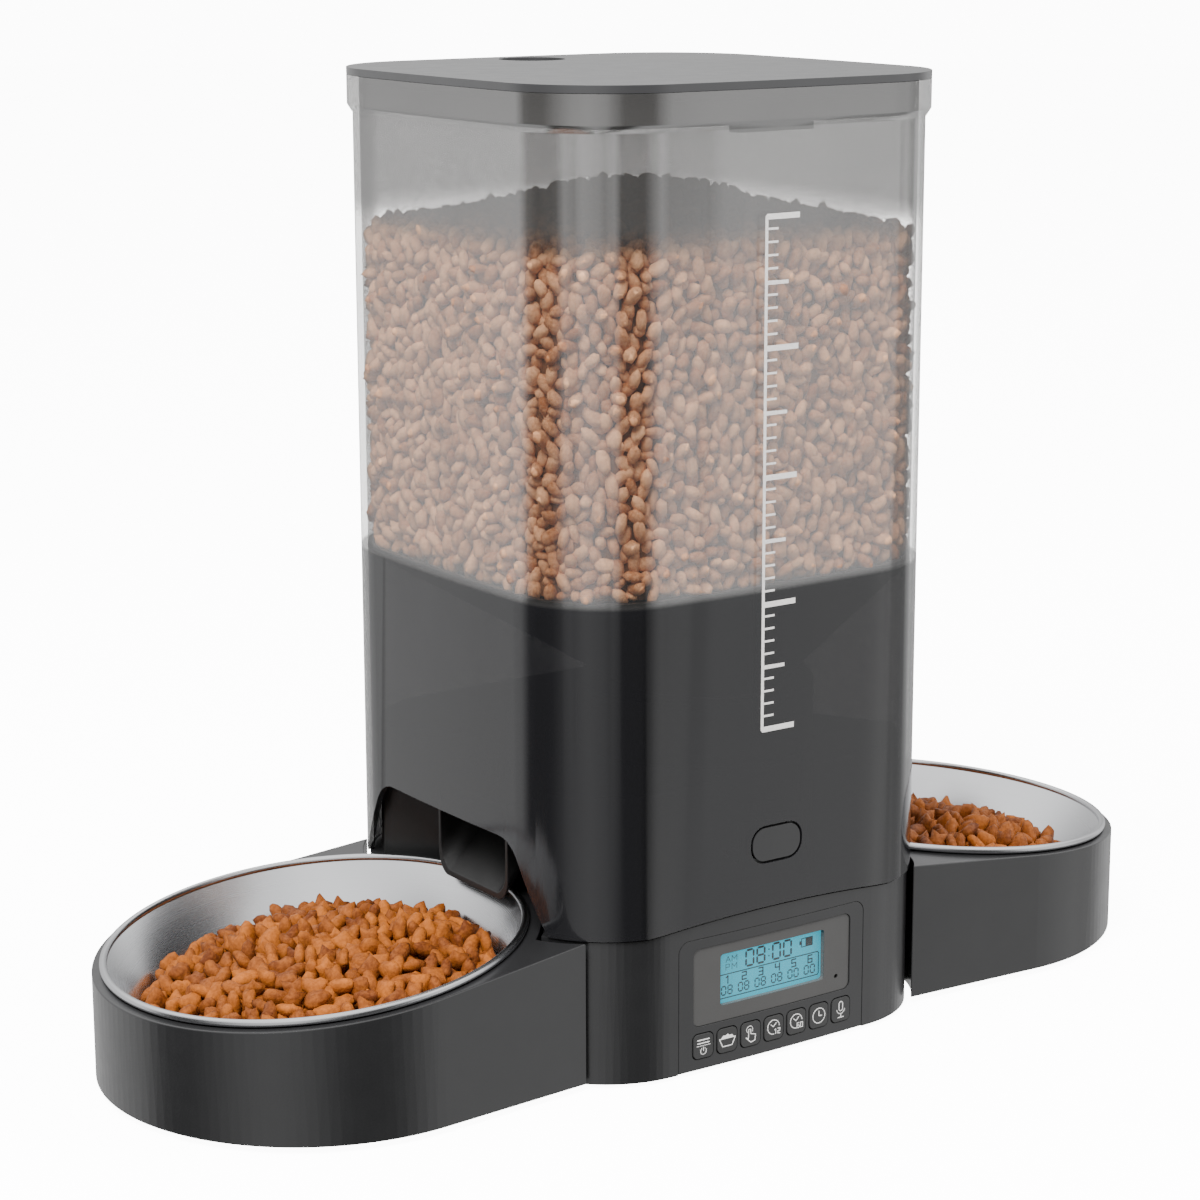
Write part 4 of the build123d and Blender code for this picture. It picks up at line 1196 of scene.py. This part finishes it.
@dataclass
class Tank:
    """Smoked food tank with its food, level scale and metering parts."""

    palette: Palette
    pantry: Pantry
    half: float = 79.0 * MM
    corner: float = 37.0 * MM
    wall: float = 2.2 * MM
    food_bottom: float = 160.0 * MM
    food_top: float = 266.0 * MM
    food_dome: float = 17.0 * MM
    pellet: tuple[float, float] = (2.3 * MM, 3.0 * MM)
    scale_low: float = 113.0
    scale_high: float = 278.0
    scale_width: float = 13.0

    def build(self) -> None:
        """Build every piece of the tank."""
        self._shell()
        self._food()
        self._scale()
        for node, look in (
            ("tank_funnel", Look.INNER), ("meter_housing", Look.INNER), ("meter_cover", Look.INNER),
            ("release_button", Look.GLOSS), ("rotor_wheel", Look.ACETAL), ("agitator", Look.RUBBER),
        ):
            dress(Skin(node, 0.25 * MM).build(), self.palette.get(look))

    def _shell(self) -> None:
        """The smoked shell."""
        shell = Skin("tank_shell", 0.5 * MM).build()
        dress(shell, self.palette.get(Look.SMOKE))
        LOG.info("tank shell: %d faces", len(shell.data.polygons))

    def _crest(self, spots: np.ndarray) -> np.ndarray:
        """Height of the food's top at plan positions."""
        reach = np.hypot(spots[:, 0], spots[:, 1])
        return self.food_top + self.food_dome * np.exp(-((reach / 0.055) ** 2))

    def _food(self) -> None:
        """Pellets against the walls and over the top of a core that fills the middle."""
        inside = RoundedSquare(self.half - self.wall, self.corner - self.wall)
        dice = Dice(7)
        pool = dice.between(-0.078, 0.078, (160000, 2))
        room = inside.clearance(pool[:, 0], pool[:, 1])
        thick = self.pellet[1] * 1.95
        ring = pool[(room > self.pellet[0] * 1.05) & (room < thick)]
        middle = pool[(room >= thick)][: len(ring) // 3]

        def ground(spots: np.ndarray, radius: float) -> np.ndarray:
            """Funnel edge by the walls, core in the middle."""
            space = inside.clearance(spots[:, 0], spots[:, 1])
            core = self._crest(spots) - 3.4 * self.pellet[1]
            return np.where(space < thick, self.food_bottom - 1 * MM + radius, core)

        walls = Heap(ring, ground, self._crest, self.pellet, settle=0.80, tries=16)
        spots, sizes = walls.fill(4100, 3)
        shapes = [
            Nugget(f"pellet_{index}", 2, depth, stretch, around=8, rings=3, lumps=0.13, seed=index + 20)
            for index, (depth, stretch) in enumerate((
                (0.10, (1.35, 0.95, 0.70)), (0.14, (1.2, 0.9, 0.76)), (0.08, (1.5, 0.82, 0.7)),
                (0.16, (1.1, 1.0, 0.72)), (0.12, (1.3, 1.0, 0.62)), (0.09, (1.25, 0.8, 0.8)),
            ))
        ]
        wall_food = self.pantry.pour("tank_food_sides", spots, sizes * 2.05, shapes, Look.PELLET, 5)
        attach(wall_food, "tank")
        top = Heap(middle, ground, self._crest, self.pellet, settle=0.80, tries=16)
        spots, sizes = top.fill(2600, 4)
        top_food = self.pantry.pour("tank_food_top", spots, sizes * 2.05, shapes, Look.PELLET, 6)
        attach(top_food, "tank")
        self._core(thick * 0.8)

    def _core(self, inset: float) -> None:
        """The unseen middle of the food, as one lump under the pellets."""
        shape = RoundedSquare(self.half - self.wall - inset, self.corner - self.wall - inset)
        steps = 96
        profile = []
        for level in (self.food_bottom, self.food_top - 6 * MM):
            profile.append((1.0, level))
        for share in (0.75, 0.5, 0.25):
            reach = share * shape.half
            profile.append((share, float(self._crest(np.array([[reach, 0.0]]))[0]) - 6 * MM))
        mesh = bmesh.new()
        rows = []
        for share, level in profile:
            row = []
            for step in range(steps):
                angle = math.tau * step / steps
                low, high = 0.0, 0.09
                for _ in range(24):
                    middle = (low + high) / 2
                    spot = np.array([middle * math.cos(angle)]), np.array([middle * math.sin(angle)])
                    low, high = (middle, high) if shape.clearance(*spot)[0] > 0 else (low, middle)
                reach = low * share
                row.append(mesh.verts.new((reach * math.cos(angle), reach * math.sin(angle), level)))
            rows.append(row)
        for lower, upper in zip(rows, rows[1:]):
            for step in range(steps):
                after = (step + 1) % steps
                mesh.faces.new((lower[step], lower[after], upper[after], upper[step]))
        mesh.faces.new(rows[0][::-1])
        mesh.faces.new(rows[-1])
        bmesh.ops.recalc_face_normals(mesh, faces=mesh.faces)
        core = mesh_object("tank_food_core", closed(mesh, "tank_food_core"))
        dress(core, self.palette.get(Look.CORE))
        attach(core, "tank")

    def _scale(self) -> None:
        """A plain graduated level scale on the front."""
        front = RoundedSquare(self.half, self.corner).front
        half = self.scale_width / 2
        low, high = self.scale_low, self.scale_high
        sketch = Sketch()
        sketch.path([(-half, low), (-half, high)], 1.1)
        for places, reach, thick in ((range(0, 9, 2), 1.0, 0.9), (range(1, 8, 2), 0.35, 0.6)):
            for mark in places:
                level = low + (high - low) * mark / 8
                left, right = -half, half * reach
                below, above = level - thick, level + thick
                sketch.polygon([(left, below), (right, below), (right, above), (left, above)])
        name = "level_scale_frame"
        frame = mesh_object(name, sketch.mesh(name, front, 0.04 * MM, 0.06 * MM))
        dress(frame, self.palette.get(Look.SCALE))
        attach(frame, "tank")
        tick = Sketch()
        end, top = -half * 0.3, low + 0.7
        tick.polygon([(-half, low), (end, low), (end, top), (-half, top)])
        name = "level_scale_ticks"
        ticks = mesh_object(name, tick.mesh(name, front, 0.05 * MM, 0.07 * MM))
        step = (high - low) / 40 * MM
        RowGraph().apply(ticks, Count=40, Step=(0.0, 0.0, step), Material=self.palette.get(Look.SCALE))
        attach(ticks, "tank")
        LOG.info("level scale: 40 ticks")


@dataclass
class Lid:
    """Flat lid with its seal and drying sachet."""

    palette: Palette

    def build(self) -> None:
        """Dress and soften the lid's pieces."""
        for node, look, edge in (
            ("lid_panel", Look.LID, 0.5 * MM),
            ("desiccant_box", Look.INNER, 0.3 * MM),
            ("desiccant_cover", Look.INNER, 0.2 * MM),
        ):
            dress(Skin(node, edge).build(), self.palette.get(look))
        LOG.info("lid dressed")


@dataclass
class Tower:
    """Base housing, pedestal, chutes and the floor plate."""

    palette: Palette

    def build(self) -> None:
        """Dress and soften the tower's housings."""
        for node, look, edge in (
            ("base_housing", Look.GLOSS, 0.45 * MM),
            ("pedestal", Look.INNER, 0.4 * MM),
            ("chute_left", Look.INNER, 0.3 * MM),
            ("chute_right", Look.INNER, 0.3 * MM),
            ("bottom_plate", Look.INNER, 0.2 * MM),
            ("battery_door", Look.INNER, 0.3 * MM),
        ):
            dress(Skin(node, edge).build(), self.palette.get(look))
        LOG.info("tower dressed")


class Icon(Enum):
    """What each key shows, by the key's node."""

    POWER = "key_meal_power"
    FOOD = "key_portion"
    HAND = "key_manual_feed"
    HOUR = "key_hour"
    MINUTE = "key_minute"
    CLOCK = "key_clock"
    TALK = "key_record"


@dataclass
class ControlFace:
    """Fascia, display with its segments, and the seven keys."""

    palette: Palette
    pitch: float = 9.6
    key_z: float = 9.6
    key_half: float = 78.6 * MM
    key_corner: float = 37 * MM
    line: float = 0.3
    lcd_plane: float = -75.6 * MM

    def build(self) -> None:
        """Build the fascia's pieces."""
        for node, look, edge in (
            ("fascia_panel", Look.GLOSS, 0.25 * MM),
            ("display_bezel", Look.BEZEL, 0.25 * MM),
        ):
            dress(Skin(node, edge).build(), self.palette.get(look))
        dress(bpy.data.objects["display_window"], self.palette.get(Look.PANE))
        dress(bpy.data.objects["lcd_module"], self.palette.get(Look.LIT))
        self._display()
        for index, icon in enumerate(Icon):
            cap = Skin(icon.value, 0.35 * MM, segments=3).build()
            dress(cap, self.palette.get(Look.KEYCAP))
            self._mark(icon, (index - 3) * self.pitch)

    def _lay(
        self,
        sketch: Sketch,
        name: str,
        front: Callable[[float], float],
        proud: float,
        thick: float,
        look: Look,
        body: str,
    ) -> None:
        """Make one piece of a sketch."""
        piece = mesh_object(name, sketch.mesh(name, front, proud, thick))
        dress(piece, self.palette.get(look))
        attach(piece, body)
        LOG.info("%s: %d marks", name, len(sketch.outlines))

    def _display(self) -> None:
        """The display's segments, frame and small marks."""
        dark, faint = Sketch(), Sketch()
        for index, sign in enumerate("0800"):
            left = -9.6 + index * 4.6 + (1.9 if index > 1 else 0)
            segment_digit(dark, sign, (left, 32.3), (3.1, 5.4), 0.72)
        dark.dot((-0.1, 34.0), 0.28)
        dark.dot((-0.1, 36.2), 0.28)
        dark.path([(13.6, 34.1), (18.2, 34.1), (18.2, 37.0), (13.6, 37.0)], 0.28, closed=True)
        dark.polygon([(15.3, 34.1), (18.2, 34.1), (18.2, 37.0), (15.3, 37.0)])
        dark.polygon([(12.7, 34.9), (13.6, 34.9), (13.6, 36.2), (12.7, 36.2)])
        self._letters(faint)
        edge = [(-20.7, 23.1), (20.4, 23.1), (20.9, 23.6), (20.9, 30.7)]
        edge += [(20.4, 31.2), (-20.7, 31.2), (-21.0, 30.7), (-21.0, 23.6)]
        dark.path(edge, 0.34, closed=True)
        for index in range(6):
            middle = -17.3 + index * 6.9
            write_digits(dark, str(index + 1), (middle - 0.75, 28.0), (1.7, 2.5), 0.44, 2.4)
            for place, sign in enumerate("00" if index > 3 else "08"):
                segment_digit(dark, sign, (middle - 2.3 + place * 2.6, 24.2), (1.7, 2.9), 0.46)

        def flat(_: float) -> float:
            """The display's ground is flat."""
            return self.lcd_plane

        self._lay(dark, "display_digits", flat, 0.05 * MM, 0.05 * MM, Look.SEGMENT, "base")
        self._lay(faint, "display_small_marks", flat, 0.04 * MM, 0.04 * MM, Look.FAINT, "base")

    def _letters(self, sketch: Sketch) -> None:
        """AM and PM, which mark the half of the day."""
        for first, low in (("A", 35.3), ("P", 32.6)):
            left = -17.9
            if first == "A":
                sketch.path([(left, low), (left + 0.9, low + 1.9), (left + 1.8, low)], 0.24)
                sketch.path([(left + 0.4, low + 0.65), (left + 1.4, low + 0.65)], 0.2)
            else:
                loop = [(0, 0), (0, 1.9), (1.4, 1.9), (1.4, 0.9), (0, 0.9)]
                sketch.path([(left + x, low + z) for x, z in loop], 0.24)
            m_left = left + 2.5
            peaks = [(0, 0), (0, 1.9), (1.0, 0.7), (2.0, 1.9), (2.0, 0)]
            sketch.path([(m_left + x, low + z) for x, z in peaks], 0.24)

    def _mark(self, icon: Icon, middle: float) -> None:
        """Draw one key's icon."""
        sketch = Sketch()
        line, level = self.line, self.key_z

        def at(spots: Sequence[Point]) -> list[Point]:
            """Spots about the key's middle."""
            return [(middle + x, level + z) for x, z in spots]

        if icon is Icon.POWER:
            sketch.path(at([(-2.3, 1.1), (2.3, 1.1)]), 0.36)
            sketch.path(at([(-2.3, 2.2), (2.3, 2.2)]), 0.36)
            sketch.path(at([(-2.7, 0.2), (2.7, 0.2)]), 0.14)
            sketch.arc((middle, level - 1.7), 1.15, 125, 415, line)
            sketch.path(at([(0, -1.6), (0, -0.4)]), line)
        elif icon is Icon.FOOD:
            sketch.path(at([(-3.2, 0.7), (3.2, 0.7), (1.9, -2.0), (-1.9, -2.0)]), line, closed=True)
            heap = [(-2.6, 0.8), (2.6, 0.8), (1.9, 1.7), (0.9, 1.6), (0.2, 2.1), (-0.8, 1.7), (-1.7, 1.8)]
            sketch.polygon(at(heap))
        elif icon is Icon.HAND:
            sketch.arc((middle - 0.5, level + 1.6), 1.25, -35, 215, line)
            finger = [(-1.0, -1.5), (-0.9, 1.7), (-0.1, 1.7), (-0.05, 0.1)]
            palm = [(1.9, -0.4), (1.7, -2.4), (0.0, -2.9), (-2.0, -1.0)]
            sketch.path(at(finger + palm), line, closed=True)
        elif icon in (Icon.HOUR, Icon.MINUTE):
            sketch.arc((middle - 0.2, level + 0.3), 2.45, 5, 275, line)
            sketch.path(at([(-1.3, 1.3), (-0.3, 0.4), (0.9, 1.6)]), line * 0.9)
            number = "12" if icon is Icon.HOUR else "60"
            write_digits(sketch, number, (middle + 0.2, level - 2.2), (0.9, 1.7), 0.26, 1.45)
        elif icon is Icon.CLOCK:
            sketch.arc((middle, level), 2.6, 0, 360, line)
            sketch.path(at([(0.0, 1.5), (0.0, -0.1), (1.2, -0.1)]), line)
        else:
            pill = [(-0.8, 0.2), (-0.8, 2.2), (-0.4, 2.8), (0.4, 2.8)]
            pill += [(0.8, 2.2), (0.8, 0.2), (0.4, -0.4), (-0.4, -0.4)]
            sketch.path(at(pill), line, closed=True)
            sketch.arc((middle, level + 0.3), 1.75, 190, 350, line)
            sketch.path(at([(0.0, -1.5), (0.0, -2.6)]), line)
            sketch.path(at([(-1.2, -2.7), (1.2, -2.7)]), line)
        name = icon.value + "_icon"
        front = RoundedSquare(self.key_half, self.key_corner).front
        self._lay(sketch, name, front, 0.04 * MM, 0.06 * MM, Look.KEY_MARK, icon.value)


@dataclass
class Feeding:
    """One side's holder, steel bowl and the food in it."""

    palette: Palette
    pantry: Pantry
    side: int
    centre: float = 128.2 * MM
    rim_z: float = 45.6 * MM
    tilt: float = math.radians(5.56)
    rim_r: float = 68.6 * MM
    bead: float = 1.28 * MM
    foot_r: float = 52.2 * MM
    depth: float = 33.95 * MM
    sheet: float = 0.75 * MM
    piece: tuple[float, float] = (2.9 * MM, 3.8 * MM)

    @property
    def word(self) -> str:
        """left or right."""
        return "left" if self.side < 0 else "right"

    def build(self) -> None:
        """Build the holder, bowl and food."""
        holder = Skin(f"bowl_holder_{self.word}", 0.5 * MM, segments=3).build()
        dress(holder, self.palette.get(Look.GLOSS))
        self._bowl()
        self._food()

    def _frame(self) -> Matrix:
        """From the bowl's own frame to the part's."""
        middle = Matrix.Translation((self.side * self.centre, 0, self.rim_z))
        return middle @ Matrix.Rotation(self.side * self.tilt, 4, "Y")

    def _bowl(self) -> None:
        """The spun bowl, as a closed sheet with a rolled rim."""
        floor, sheet = -self.depth, self.sheet
        outer = [(0.0, floor), (self.foot_r - 6 * MM, floor), (self.foot_r - 3 * MM, floor + 0.35 * MM)]
        outer += [(self.foot_r, floor + 1.8 * MM), (self.foot_r + 1.4 * MM, floor + 4.2 * MM)]
        outer += [(self.rim_r - 0.5 * MM, -1.1 * MM)]
        roll = []
        for step in range(17):
            angle = math.radians(-80 + 290 * step / 16)
            roll.append((self.rim_r + self.bead * math.cos(angle), self.bead * math.sin(angle)))
        inner = [(r - sheet, z + sheet * 0.55) for r, z in reversed(outer[3:])]
        base = floor + sheet
        inner += [(self.foot_r - 3.6 * MM, base + 0.25 * MM), (self.foot_r - 6.4 * MM, base)]
        inner += [(30.5 * MM, base), (29.5 * MM, base + 0.35 * MM), (0.0, base + 0.35 * MM)]
        name = f"bowl_{self.word}_spun"
        mesh = revolved(name, outer + roll + inner, 192)
        mesh.transform(self._frame())
        bowl = mesh_object(name, mesh)
        mesh.set_sharp_from_angle(angle=math.radians(50))
        centre = (self.side * self.centre, 0.0, self.rim_z)
        dress(bowl, self.palette.get(SpunSteel(f"spun_steel_{self.word}", centre, self.side * self.tilt)))
        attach(bowl, f"bowl_{self.word}")
        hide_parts(f"bowl_{self.word}")
        LOG.info("%s: %d faces", name, len(mesh.polygons))

    def _food(self) -> None:
        """A heap of kibble."""
        dice = Dice(31 + self.side)
        pool = dice.between(-0.062, 0.062, (30000, 2))
        pool = pool[np.hypot(pool[:, 0], pool[:, 1]) < 0.0625]
        slope = (self.rim_r - self.foot_r) / self.depth
        floor = -self.depth + self.sheet

        def ground(spots: np.ndarray, radius: float) -> np.ndarray:
            """Floor of the bowl, and its wall near the edge."""
            reach = np.hypot(spots[:, 0], spots[:, 1]) + radius * 1.15
            wall = (reach - (self.foot_r - 2.5 * MM)) / slope + floor
            return np.maximum(floor + 0.8 * radius, wall)

        def crest(spots: np.ndarray) -> np.ndarray:
            """Top of the heap."""
            across = spots[:, 0] + self.side * 3 * MM
            reach = np.hypot(across, spots[:, 1])
            return -4.0 * MM - 11.0 * MM * (reach / 0.06) ** 2

        heap = Heap(pool, ground, crest, self.piece, settle=0.80, tries=10)
        spots, sizes = heap.fill(1700, 11 + self.side)
        spots = np.array([self._frame() @ Vector(spot) for spot in spots])
        plans = (
            (5, 0.20, (1.2, 1.2, 0.60)), (3, 0.20, (1.2, 1.15, 0.66)), (2, 0.14, (1.35, 0.8, 0.66)),
            (4, 0.20, (1.15, 1.15, 0.6)), (5, 0.24, (1.15, 1.1, 0.58)), (3, 0.26, (1.15, 1.15, 0.58)),
        )
        shapes = []
        for index, (lobes, depth, stretch) in enumerate(plans):
            around = 10 if lobes == 5 else 12
            shapes.append(Nugget(f"kibble_{index}", lobes, depth, stretch, around, rings=4, seed=index + 40))
        wide = sizes * 2.15
        food = self.pantry.pour(f"kibble_{self.word}", spots, wide, shapes, Look.KIBBLE, 9 + self.side)
        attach(food, f"bowl_{self.word}")


@dataclass
class Hidden:
    """Finishes of the pieces that stay as the frame has them."""

    palette: Palette

    def build(self, nodes: dict[str, bpy.types.Object]) -> None:
        """Give every remaining node its finish.

        Args:
            nodes: The frame's nodes.
        """
        looks = {
            "screw": Look.SCREW, "spring": Look.SPRING, "feet": Look.RUBBER, "seal": Look.RUBBER,
            "sachet": Look.SACHET, "cells": Look.CELL, "contacts": Look.SPRING, "gear": Look.ACETAL,
            "pinion": Look.ACETAL, "control_board": Look.BOARD, "gear_plate": Look.INNER,
            "gear_motor": Look.SPRING,
            "rotor_shaft": Look.ACETAL, "usb_inlet": Look.SPRING, "microphone": Look.SPRING,
        }
        for name, node in nodes.items():
            if node.hide_render or name in ("display_window", "lcd_module"):
                continue
            fits = [look for key, look in looks.items() if key in name]
            dress(node, self.palette.get(fits[-1] if fits else Look.INNER))
            LOG.info("%s takes %s", name, (fits[-1] if fits else Look.INNER).name)


# ------------------------------------------------------------------ studio


@dataclass
class Studio:
    """Floor, light and camera."""

    distance: float = 1.0447
    azimuth: float = -35.45
    screen_turn: float = 9.0
    backdrop: float = 12.0
    elevation: float = 13.08
    target: tuple[float, float, float] = (0.0, 0.0, 0.1402)
    lens: float = 91.64
    shift: float = -0.0303

    def build(self) -> None:
        """Set everything up."""
        self._floor()
        self._sky()
        self._lamps()
        self._camera()

    def _floor(self) -> None:
        """A plain pale floor, which mirrors do not see."""
        shape = bmesh.new()
        bmesh.ops.create_circle(shape, cap_ends=True, segments=96, radius=6.0)
        floor = mesh_object("studio_floor", closed(shape, "studio_floor"))
        dress(floor, PaleGround("studio_floor").material())
        floor.visible_glossy = False
        floor.visible_diffuse = False

    def _sky(self) -> None:
        """Surroundings whose brightness changes with direction, as between studio screens."""
        world = bpy.data.worlds.new("studio_sky")
        world.use_nodes = True
        bpy.context.scene.world = world
        sheet = Sheet("studio_sky", world.node_tree)
        ahead = sheet.split(sheet.node("ShaderNodeTexCoord").outputs["Generated"])
        turn = ahead[1].operate("ARCTAN2", ahead[1], ahead[0])
        share = (turn - math.radians(self.azimuth - 90.0 + self.screen_turn)) / math.tau + 1.5
        share = share - share.operate("FLOOR", share)
        bands = (
            (-180, 0.80), (-125, 1.00), (-101, 1.05), (-90, 0.04), (-68, 0.04), (-40, 0.80),
            (-24, 0.95), (-8, 0.75), (10, 0.05), (38, 0.05), (60, 1.10), (92, 1.10),
            (103, 0.65), (114, 0.65), (128, 1.15), (155, 0.6), (180, 0.80),
        )
        stops = [((angle + 180) / 360, (level, level, level)) for angle, level in bands]
        ramp = sheet.node("ShaderNodeValToRGB", {"stops": stops}, {0: share})
        lift = ahead[2].span(0.28, 0.8, 0.0, 0.65)
        seen = sheet.blend(lift, ramp.outputs[0], (2.3, 2.3, 2.3))
        path = sheet.node("ShaderNodeLightPath").outputs
        seen = sheet.blend(Value(sheet, path["Is Diffuse Ray"]), seen, (0.75, 0.75, 0.75))
        colour = sheet.blend(Value(sheet, path["Is Camera Ray"]), seen, (self.backdrop,) * 3)
        light = sheet.node("ShaderNodeBackground", None, {"Color": colour, "Strength": 1.0})
        sheet.node("ShaderNodeOutputWorld", None, {"Surface": light.outputs[0]})

    def _lamps(self) -> None:
        """Large soft lamps that shape the food and the steel."""
        for name, spot, size, power in (
            ("key_lamp", (-0.9, -0.6, 1.5), 1.0, 105.0),
            ("fill_lamp", (1.3, -0.9, 1.1), 1.2, 38.0),
        ):
            data = bpy.data.lights.new(name, "AREA")
            data.shape = "DISK"
            data.size = size
            data.energy = power
            lamp = bpy.data.objects.new(name, data)
            lamp.location = spot
            lamp.rotation_euler = (Vector((0, 0, 0.1)) - Vector(spot)).to_track_quat("-Z", "Y").to_euler()
            lamp.visible_glossy = False
            bpy.context.scene.collection.objects.link(lamp)

    def _camera(self) -> None:
        """The viewpoint."""
        data = bpy.data.cameras.new("camera")
        data.lens = self.lens
        data.sensor_width = 36.0
        data.shift_x = self.shift
        camera = bpy.data.objects.new("camera", data)
        turn, rise = math.radians(self.azimuth), math.radians(self.elevation)
        away = Vector((math.sin(turn) * math.cos(rise), -math.cos(turn) * math.cos(rise), math.sin(rise)))
        camera.location = Vector(self.target) + away * self.distance
        camera.rotation_euler = (-away).to_track_quat("-Z", "Y").to_euler()
        bpy.context.scene.collection.objects.link(camera)
        bpy.context.scene.camera = camera


def main() -> None:
    """Build the scene around the frame."""
    logging.basicConfig(level=logging.INFO, format="%(name)s: %(message)s")
    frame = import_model()
    palette = Palette()
    pantry = Pantry(palette)
    Tank(palette, pantry).build()
    Lid(palette).build()
    Tower(palette).build()
    ControlFace(palette).build()
    for side in (-1, 1):
        Feeding(palette, pantry, side).build()
    Hidden(palette).build(frame["nodes"])
    Studio().build()


if __name__ == "__main__":
    main()
